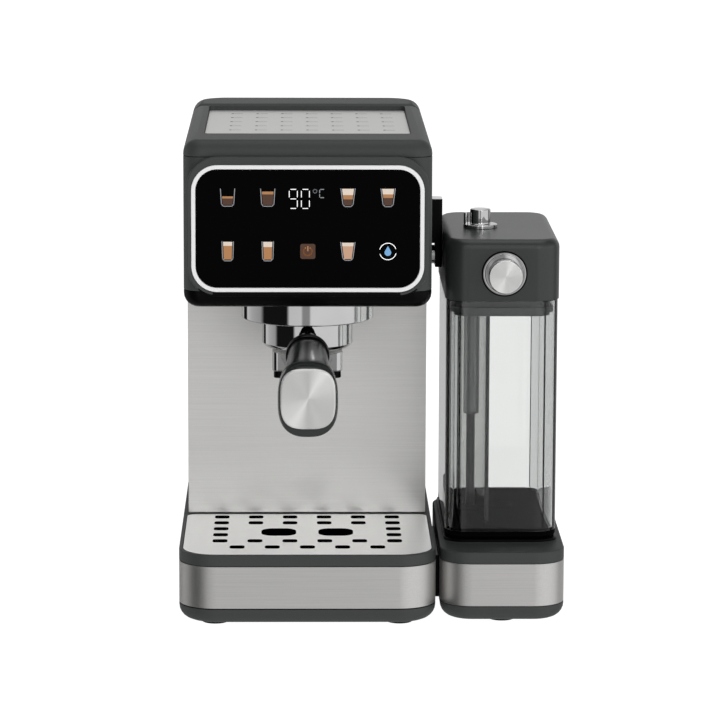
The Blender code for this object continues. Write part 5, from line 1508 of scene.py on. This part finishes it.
    def build_ferrule(self) -> None:
        """Builds the black ferrule between neck and grip."""
        rim = 1.2 * MM
        start = self.neck_end + GAP
        bore = self.stud_bore
        profile = [
            (bore, self.ferrule_end),
            (self.ferrule_radius, self.ferrule_end),
            (self.ferrule_radius, start + rim),
            *arc((self.ferrule_radius - rim, start + rim), rim, 0, -90, 4),
            (bore, start),
        ]
        ferrule = turned(profile, steps=96)
        ferrule.transform(self.place @ FORWARD)
        stand_for("handle_ferrule", ferrule, BLACK_ABS)

    def build_grip(self) -> None:
        """Builds the grip, which flares towards its upright end and has a groove near it."""
        grip_start = self.ferrule_end + GAP
        length = self.grip_end - grip_start
        upright = math.tan(math.radians(self.slope))
        neck = Vector(self.grip_start_half)
        end = Vector(self.grip_half)
        rings = []
        shares = sorted([step / 26 for step in range(27)] + [place for place, _ in self.grip_groove])
        for share in shares:
            sunk = dict(self.grip_groove).get(share, 0.0)
            # The flare is whole at nine tenths of the length, and the last twentieth tucks in
            flare = 1 - (1 - min(share / 0.9, 1.0) ** 1.5) ** 1.35
            tuck = max(share - 0.95, 0.0) / 0.05
            sunk += MM * (1 - math.sqrt(max(1 - tuck * tuck, 0.0)))
            half = neck.lerp(end, flare) - Vector((sunk, sunk))
            lean = upright * min(share / 0.85, 1.0) ** 1.5
            rings.append(self.section(grip_start + share * length, half, 0.0, lean, 2.2 + 0.5 * flare))
        hole = rod(self.stud_bore, (0, 0, 0), (0, -self.stud_end, 0), 32)
        grip = combined(loft(rings), [hole])
        grip.transform(self.place)
        stand_for("handle_grip", softened(grip, width=0.3 * MM, angle=50.0), GRIP_ABS)

    def build_cap(self) -> None:
        """Builds the spun cap with its rounded front edge."""
        upright = math.tan(math.radians(self.slope))
        face = self.grip_end + GAP
        cap_rings = []
        for depth, shrink in ((0.0, 0.0), (0.5, 0.0), (0.8, 0.12), (0.95, 0.45), (1.0, 1.0)):
            half = (self.cap_half[0] - shrink * MM, self.cap_half[1] - shrink * MM)
            distance = face + depth * self.cap_thick
            cap_rings.append(self.section(distance, half, self.cap_raise, upright, self.cap_power))
        cap = loft(cap_rings)
        cap.transform(self.place)
        middle = self.place @ Vector((0, -(face + self.cap_thick), self.cap_raise))
        stand_for("handle_cap", cap, SPUN_STEEL, origin=middle)


@dataclass
class MilkTank:
    """The clear tank, open at its top."""

    corner: float = 15 * MM
    wall: float = 2.6 * MM
    floor: float = 4.4 * MM
    heel: float = 2.0 * MM
    ring_radius: float = 11 * MM
    ring_width: float = 1.0 * MM
    ring_height: float = 0.4 * MM
    ring_root: float = 0.2 * MM
    ring_share: float = 0.62

    def build(self) -> None:
        """Builds the clear tank and its floor ring; its corners are tinted darker as painted shade, and its
        floor painted black for the platform below and for shade.
        """
        low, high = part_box("milk_tank")
        shape = Rounding(self.corner, self.corner, 0.0, self.heel)
        room = inset((low, high), self.wall, self.floor, PAST)
        inner = Rounding(self.corner - self.wall, self.corner - self.wall, 0.0, self.heel)
        tank = combined(rounded_box(low, high, shape), [rounded_box(*room, inner)])
        tank = split_level(softened(tank, width=0.4 * MM, angle=60.0), low.z + self.floor)
        shell = stand_for("milk_tank", tank, CLEAR_TANK)
        # The rounded corners get a darker tint: painted shade
        face_finish(shell, CLEAR_CORNER_SHADE, lambda item: 0.45 < abs(item.normal.x) < 0.97)
        # The floor is painted black: partly the black platform seen below it, partly painted shade inside
        # the tank
        face_finish(shell, SHADE_BLACK, lambda item: item.center.z < low.z + self.floor + 0.05 * MM)
        ridge = [
            (self.ring_radius, -self.ring_root),
            (self.ring_radius + self.ring_width, -self.ring_root),
            (self.ring_radius + self.ring_width / 2, self.ring_height),
        ]
        ring = turned(ridge, steps=64)
        back = low.y + self.ring_share * (high.y - low.y)
        ring.transform(Matrix.Translation((centre_of("milk_tank").x, back, low.z + self.floor)))
        put("milk_tank_floor_ring", ring, BLACK_ABS, BODY_OF["milk_tank"])


@dataclass
class MilkLid:
    """Lid with its collar, the knob ring, both knobs, the pin, the suction tube and its guard."""

    corner: float = 15.8 * MM
    edge: float = 6.0 * MM
    wall: float = 3.0 * MM
    collar_inset: float = 6.0 * MM
    collar_corner: float = 9.8 * MM
    collar_overlap: float = 4.0 * MM
    ring_seat: float = 15.0 * MM
    ring_face: float = 2.2 * MM
    ring_floor: float = 1.5 * MM
    shaft: float = 3.2 * MM
    shaft_depth: float = 30.0 * MM
    spigot_depth: float = 12.0 * MM
    knob_sink: float = 1.8 * MM
    drum_radius: float = 6.9 * MM
    pin_radius: float = 1.5 * MM
    pin_height: float = 9.6 * MM
    pin_inset: float = 1.8 * MM
    tube_radius: float = 3.0 * MM
    sleeve_foot: float = 124.2 * MM
    guard_radius: float = 11.6 * MM
    guard_wall: float = 1.2 * MM

    def build(self) -> None:
        """Builds every visible piece of the lid."""
        self.build_lid()
        self.build_ring()
        self.build_knob()
        self.build_top_knob()
        self.build_tube()

    def build_lid(self) -> None:
        """Builds the lid with its collar, hollow and seats."""
        low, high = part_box("milk_lid")
        tank_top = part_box("milk_tank")[1].z
        body_low = Vector((low.x, low.y, tank_top + GAP))
        body = rounded_box(body_low, high, Rounding(self.corner, self.corner, self.edge))
        collar_low, collar_high = inset((low, high), self.collar_inset)
        collar_high.z = tank_top + self.collar_overlap
        collar = rounded_box(collar_low, collar_high, Rounding(self.collar_corner, self.collar_corner))
        body = combined(body, [collar], "UNION")
        room_low, room_high = inset((low, high), self.collar_inset + self.wall, -PAST, -2 * self.wall)
        room_corner = self.collar_corner - self.wall
        room = rounded_box(room_low, room_high, Rounding(room_corner, room_corner))
        knob = centre_of("knob_ring")
        ring_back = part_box("knob_ring")[1].y
        bore = self.shaft + GAP
        outside = (knob.x, low.y - PAST, knob.z)
        seat = rod(self.ring_seat, outside, (knob.x, ring_back + GAP, knob.z), 96)
        shaft = rod(bore, outside, (knob.x, low.y + self.shaft_depth, knob.z))
        top = centre_of("top_knob")
        spigot = rod(bore, (top.x, top.y, high.z - self.spigot_depth), (top.x, top.y, high.z + PAST))
        lid = combined(body, [room, seat, shaft, spigot])
        cover = stand_for("milk_lid", softened(lid, width=0.4 * MM, angle=50.0), SATIN_ABS)
        face_finish(cover, SILICONE, lambda item: item.center.z < tank_top)

    def build_ring(self) -> None:
        """Builds the chrome ring round the front knob, with its black edge."""
        low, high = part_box("knob_ring")
        centre = centre_of("knob_ring")
        radius = radius_of("knob_ring")
        depth = high.y - low.y
        edge = 0.6 * MM
        inner = radius - self.ring_face
        profile = [
            *arc((inner + edge, depth - edge), edge, 180, 90, 4),
            *arc((radius - edge, depth - edge), edge, 90, 0, 4),
            (radius, 0.0),
            (self.shaft + GAP, 0.0),
            (self.shaft + GAP, self.ring_floor),
            (inner, self.ring_floor),
        ]
        ring = turned(profile, steps=96)
        ring.transform(Matrix.Translation((centre.x, high.y, centre.z)) @ FORWARD)
        trim = stand_for("knob_ring", ring, CHROME)
        face_finish(trim, BLACK_ABS, lambda item: (item.center.xz - centre.xz).length > radius - edge)

    def build_knob(self) -> None:
        """Builds the front knob: a chrome drum with a spun steel face."""
        low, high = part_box("froth_knob")
        centre = centre_of("froth_knob")
        radius = radius_of("froth_knob")
        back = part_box("knob_ring")[1].y - self.knob_sink
        length = back - low.y
        shaft_end = high.y - back
        edge = 0.9 * MM
        profile = [
            (0.0, length),
            *arc((radius - edge, length - edge), edge, 90, 0, 5),
            (radius, 0.0),
            (self.shaft, 0.0),
            (self.shaft, -shaft_end),
            (0.0, -shaft_end),
        ]
        knob = turned(profile, steps=120)
        knob.transform(Matrix.Translation((centre.x, back, centre.z)) @ FORWARD)
        drum = stand_for("froth_knob", knob, CHROME, origin=(centre.x, low.y, centre.z))
        face_finish(drum, SPUN_STEEL, lambda face: face.normal.y < -0.9 and face.center.y < edge)

    def build_top_knob(self) -> None:
        """Builds the top knob with its flange, and the pin that stands on it."""
        low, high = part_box("top_knob")
        lid_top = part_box("milk_lid")[1].z
        centre = centre_of("top_knob")
        flange = radius_of("top_knob")
        radius = self.drum_radius
        seat = lid_top + GAP
        crown = high.z - seat
        edge = 0.8 * MM
        lip = 0.5 * MM
        thick = 2.2 * MM
        fillet_top = 3.4 * MM
        profile = [
            (0.0, crown),
            *arc((radius - edge, crown - edge), edge, 90, 0, 5),
            (radius, fillet_top),
            *arc((radius + edge, thick + MM), edge, 180, 270, 4),
            (flange - lip, thick),
            *arc((flange - lip, thick - lip), lip, 90, 0, 3),
            (flange, 0.0),
            (self.shaft, 0.0),
            (self.shaft, low.z - seat),
            (0.0, low.z - seat),
        ]
        knob = turned(profile, steps=96)
        tip = 0.4 * MM
        pin_profile = [
            (0.0, self.pin_height),
            *arc((self.pin_radius - tip, self.pin_height - tip), tip, 90, 0, 3),
            (self.pin_radius, MM),
            (0.0, MM),
        ]
        pin = turned(pin_profile, steps=32)
        pin.transform(Matrix.Translation((self.pin_inset - flange, 0.0, 0.0)))
        knob = combined(knob, [pin], "UNION")
        knob.transform(Matrix.Translation((centre.x, centre.y, seat)))
        stand_for("top_knob", knob, CHROME, origin=(centre.x, centre.y, seat))

    def build_tube(self) -> None:
        """Builds the suction tube and its sleeve."""
        low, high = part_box("suction_tube")
        centre = centre_of("suction_tube")
        sleeve = radius_of("suction_tube")
        tube = self.tube_radius
        step = self.sleeve_foot
        bore = tube - MM
        edge = 0.8 * MM
        profile = [
            (bore, high.z),
            (sleeve, high.z),
            *arc((sleeve - edge, step + edge), edge, 0, -90, 4),
            (tube, step),
            (tube, low.z),
            (bore, low.z),
        ]
        pipe = turned(profile, steps=48)
        pipe.transform(Matrix.Translation((centre.x, centre.y, 0.0)))
        sleeved = stand_for("suction_tube", pipe, PALE_SILICONE)
        face_finish(sleeved, SILICONE, lambda item: item.center.z < step - MM)
        self.build_guard(centre, sleeve)

    def build_guard(self, centre: Vector, sleeve: float) -> None:
        """Builds the smoked guard that hangs from the sleeve and shields the suction tube.

        Args:
            centre: the tube's axis.
            sleeve: the sleeve's radius.
        """
        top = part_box("milk_lid")[0].z - MM
        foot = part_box("frother_chamber")[0].z
        inner = self.guard_radius - self.guard_wall
        hold = sleeve - 0.1 * MM
        profile = [
            (hold, top),
            (self.guard_radius, top),
            (self.guard_radius, foot),
            (inner, foot),
            (inner, top - self.guard_wall),
            (hold, top - self.guard_wall),
        ]
        guard = turned(profile, steps=96)
        guard.transform(Matrix.Translation((centre.x, centre.y, 0.0)))
        put("milk_tube_guard", softened(guard, width=0.2 * MM), SMOKED_GUARD, BODY_OF["suction_tube"])


@dataclass
class WaterTank:
    """The clear water tank at the rear, and its lid."""

    corner: float = 10 * MM
    wall: float = 2.2 * MM
    valve_bore: float = 6.3 * MM
    marks: int = 9
    mark_pitch: float = 18 * MM
    mark_length: float = 12 * MM
    mark_size: Point = (0.3 * MM, 0.8 * MM)
    first_mark: Point = (18 * MM, 40 * MM)
    lid_corner: float = 24 * MM
    lid_edge: float = 9 * MM
    lid_wall: float = 3 * MM

    def build(self) -> None:
        """Builds the tank and the lid."""
        low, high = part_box("water_tank")
        shape = Rounding(self.corner, self.corner)
        room = inset((low, high), self.wall, self.wall, PAST)
        valve = centre_of("water_valve")
        bore = rod(self.valve_bore, (valve.x, valve.y, low.z - PAST), (valve.x, valve.y, low.z + 2 * PAST))
        tank = combined(rounded_box(low, high, shape), [rounded_box(*room, shape.less(self.wall)), bore])
        stand_for("water_tank", softened(tank, width=0.4 * MM, angle=60.0), CLEAR_TANK)
        self.build_marks(low, high)
        lid_low, lid_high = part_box("water_tank_lid")
        lid_shape = Rounding(back=self.lid_corner, top=self.lid_edge)
        hollow = inset((lid_low, lid_high), self.lid_wall, -PAST, -self.lid_wall)
        room = rounded_box(*hollow, lid_shape.less(self.lid_wall))
        lid = combined(rounded_box(lid_low, lid_high, lid_shape), [room])
        stand_for("water_tank_lid", softened(lid, width=0.4 * MM), CHARCOAL_ABS)

    def build_marks(self, low: Vector, high: Vector) -> None:
        """Builds the level marks on the tank's back: long and short bars, moulded proud of the wall.

        Args:
            low: the tank's lowest corner.
            high: its highest corner.
        """
        marks = bmesh.new()
        left = low.x + self.first_mark[0]
        foot = low.z + self.first_mark[1]
        for step in range(self.marks):
            length = self.mark_length if step % 4 == 0 else self.mark_length / 2
            place = Vector((left + length / 2, high.y, foot + step * self.mark_pitch))
            size = Matrix.Diagonal((length, *self.mark_size, 1.0))
            bmesh.ops.create_cube(marks, size=1.0, matrix=Matrix.Translation(place) @ size)
        put("water_level_marks", softened(mesh_of(marks), width=0.1 * MM), WHITE_PC, BODY_OF["water_tank"])


@dataclass
class Dock:
    """Docking block and chrome nozzle on the head's right side."""

    notch_width: float = 5.0 * MM
    notch_height: float = 16.3 * MM
    corner: float = 2.0 * MM

    def build(self) -> None:
        """Builds the notched block; the nozzle keeps its own shape."""
        low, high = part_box("dock_housing")
        nozzle = centre_of("steam_nozzle")
        body = rounded_box(low, high, Rounding(self.corner, self.corner, corner_steps=6))
        notch = rounded_box(
            (low.x - PAST, low.y - PAST, low.z - PAST),
            (low.x + self.notch_width, high.y + PAST, low.z + self.notch_height),
            Rounding(),
        )
        hole = rod(NOZZLE_BORE, (low.x - PAST, nozzle.y, nozzle.z), (high.x + PAST, nozzle.y, nozzle.z))
        cut = combined(body, [notch, hole])
        block = stand_for("dock_housing", softened(cut, width=0.4 * MM), BLACK_ABS)
        face_finish(block, FLAT_STEEL, lambda item: item.normal.z > 0.9 and item.center.z > high.z - MM)


INNER_FINISHES = {
    "display_board": CIRCUIT_BOARD,
    "power_board": CIRCUIT_BOARD,
    "thermoblock": CAST_ALUMINIUM,
    "pump_bracket": CAST_ALUMINIUM,
    "pump": BRUSHED_STEEL,
    "solenoid_valve": BLACK_ABS,
    "shower_screen": FLAT_STEEL,
    "shower_screw": FLAT_STEEL,
    "handle_stud": FLAT_STEEL,
    "filter_basket": FLAT_STEEL,
    "group_gasket": SILICONE,
    "water_seat": SILICONE,
    "water_valve": SILICONE,
    "lid_seal": SILICONE,
    "suction_hose": SILICONE,
    "pressure_hose": SILICONE,
    "steam_hose": SILICONE,
    "frother_chamber": GREY_PP,
    "steam_nozzle": CHROME,
}


@dataclass(frozen=True)
class SoftBox:
    """A flat soft light: its place, the point that it faces, its size, and its power in watts."""

    name: str
    place: tuple[float, float, float]
    aim: tuple[float, float, float]
    size: Point
    power: float

    def build(self) -> None:
        """Adds the light to the scene."""
        light = bpy.data.lights.new(self.name, "AREA")
        light.shape = "RECTANGLE"
        light.size, light.size_y = self.size
        light.energy = self.power
        item = bpy.data.objects.new(self.name, light)
        item.location = self.place
        item.rotation_euler = (Vector(self.aim) - Vector(self.place)).to_track_quat("-Z", "Y").to_euler()
        bpy.context.scene.collection.objects.link(item)


@dataclass
class Studio:
    """Camera at the photograph's place, white sweep, soft lights and a banded sky for reflections."""

    focal_pixels: float = 3750.0
    image_pixels: float = 720.0
    sensor_mm: float = 36.0
    pitch: float = 9.749
    yaw: float = 0.988
    roll: float = 0.19
    stand: tuple[float, float, float] = (-7.45 * MM, -2402.18 * MM, 592.63 * MM)
    floor_half: float = 30.0
    floor_glow: float = 1.0
    lights: Sequence[SoftBox] = (
        SoftBox("top_box", (0.0, 0.3, 2.4), (0.0, 0.0, 0.0), (2.0, 2.0), 12.0),
        SoftBox("front_box", (0.65, -2.5, 0.75), (0.0, 0.0, 0.15), (0.35, 0.35), 2.2),
        SoftBox("edge_strip", (0.0, -2.2, 1.7), (0.0, 0.0, 0.2), (3.0, 0.18), 7.5),
    )
    # The sky's strength, and its level by degrees above the horizon and by degrees round from the front
    sky: float = 1.25
    heights: Sequence[Point] = (
        (-90.0, 0.45),
        (-40.0, 0.45),
        (-18.0, 0.75),
        (-5.0, 0.75),
        (0.0, 1.0),
        (15.0, 1.0),
        (32.0, 0.42),
        (90.0, 0.42),
    )
    bands: Sequence[Point] = (
        (-180.0, 0.57),
        (-148.0, 0.66),
        (-144.0, 0.01),
        (-132.0, 0.01),
        (-129.0, 0.80),
        (-112.0, 0.60),
        (-90.0, 0.45),
        (-82.0, 0.01),
        (-36.0, 0.01),
        (-31.0, 0.85),
        (-11.0, 0.85),
        (-8.0, 0.36),
        (3.0, 0.36),
        (6.0, 0.95),
        (84.0, 0.95),
        (98.0, 0.70),
        (106.0, 0.01),
        (113.0, 0.01),
        (117.0, 0.45),
        (150.0, 0.57),
        (180.0, 0.57),
    )

    def build(self) -> None:
        """Builds the camera, floor, sky and lights."""
        bpy.context.scene.view_settings.view_transform = "Standard"
        self.build_camera()
        self.build_floor()
        self.build_sky()
        for light in self.lights:
            light.build()

    def build_camera(self) -> None:
        """Builds the camera, placed from the front of the tray's band."""
        origin = Vector((centre_of("tray_band").x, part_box("tray_band")[0].y, 0.0))
        lens = bpy.data.cameras.new("photo_camera")
        lens.sensor_width = self.sensor_mm
        lens.lens = self.focal_pixels / self.image_pixels * self.sensor_mm
        lens.clip_end = 100.0
        camera = bpy.data.objects.new("photo_camera", lens)
        camera.location = origin + Vector(self.stand)
        turn = Matrix.Rotation(math.radians(-self.yaw), 3, "Z")
        tilt = Matrix.Rotation(math.radians(90 - self.pitch), 3, "X")
        roll = Matrix.Rotation(math.radians(self.roll), 3, "Z")
        camera.rotation_euler = (turn @ tilt @ roll).to_euler()
        bpy.context.scene.collection.objects.link(camera)
        bpy.context.scene.camera = camera

    def build_floor(self) -> None:
        """Builds the white floor."""
        shape = bmesh.new()
        bmesh.ops.create_grid(shape, x_segments=1, y_segments=1, size=self.floor_half)
        mesh = mesh_of(shape)
        material = bpy.data.materials.new("white_sweep")
        material.use_nodes = True
        shader = material.node_tree.nodes["Principled BSDF"]
        shader.inputs["Base Color"].default_value = linear("#8C8C8C")
        shader.inputs["Roughness"].default_value = 0.9
        shader.inputs["Emission Color"].default_value = linear("#FFFFFF")
        shader.inputs["Emission Strength"].default_value = self.floor_glow
        mesh.materials.append(material)
        floor = bpy.data.objects.new("floor", mesh)
        floor.visible_glossy = False
        bpy.context.scene.collection.objects.link(floor)

    def build_sky(self) -> None:
        """Builds a sky whose upright bands stand for the studio's panels and flags, behind white paper."""
        world = bpy.data.worlds.new("studio_sky")
        world.use_nodes = True
        tree = world.node_tree
        tree.nodes.clear()
        place = add_node(tree, "ShaderNodeTexCoord").outputs["Generated"]
        split = add_node(tree, "ShaderNodeSeparateXYZ", {0: place})
        back = add_node(tree, "ShaderNodeMath", {0: split.outputs[1], 1: -1.0}, operation="MULTIPLY")
        sides = {0: split.outputs[0], 1: back.outputs[0]}
        angle = add_node(tree, "ShaderNodeMath", sides, operation="ARCTAN2")
        turn = {"Value": angle.outputs[0], "From Min": -math.pi, "From Max": math.pi}
        rise = {"Value": split.outputs[2], "From Min": -1.0, "From Max": 1.0}
        around = [((degrees + 180.0) / 360.0, level) for degrees, level in self.bands]
        upward = [((1.0 + math.sin(math.radians(degrees))) / 2, level) for degrees, level in self.heights]
        levels = []
        for span, stops in ((turn, around), (rise, upward)):
            share = add_node(tree, "ShaderNodeMapRange", span).outputs[0]
            ramp = add_node(tree, "ShaderNodeValToRGB", {0: share})
            marks = ramp.color_ramp.elements
            while len(marks) < len(stops):
                marks.new(0.5)
            for mark, (position, level) in zip(marks, stops):
                mark.position = position
                mark.color = (level, level, level, 1.0)
            levels.append(ramp.outputs[0])
        strength = add_node(tree, "ShaderNodeMath", {0: levels[1], 1: self.sky}, operation="MULTIPLY")
        shine = add_node(
            tree, "ShaderNodeBackground", {"Color": levels[0], "Strength": strength.outputs[0]}
        )
        paper = add_node(tree, "ShaderNodeBackground", {"Color": linear("#FFFFFF"), "Strength": 1.0})
        seen = add_node(tree, "ShaderNodeLightPath").outputs["Is Camera Ray"]
        both = add_node(tree, "ShaderNodeMixShader", {0: seen, 1: shine.outputs[0], 2: paper.outputs[0]})
        add_node(tree, "ShaderNodeOutputWorld", {"Surface": both.outputs[0]})
        bpy.context.scene.world = world


def main() -> None:
    """Builds every sub-assembly on the frame, then the studio."""
    logging.basicConfig(level=logging.INFO, format="%(message)s")
    for node, finish in INNER_FINISHES.items():
        dress(node, finish)
    base = MainBase()
    base.build()
    MilkBase().build(base)
    for kind in (Column, Head, Display, BrewGroup, Portafilter, MilkTank, MilkLid, WaterTank, Dock):
        LOG.info("building %s", kind.__name__)
        kind().build()
    Studio().build()
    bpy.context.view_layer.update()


if __name__ == "__main__":
    main()
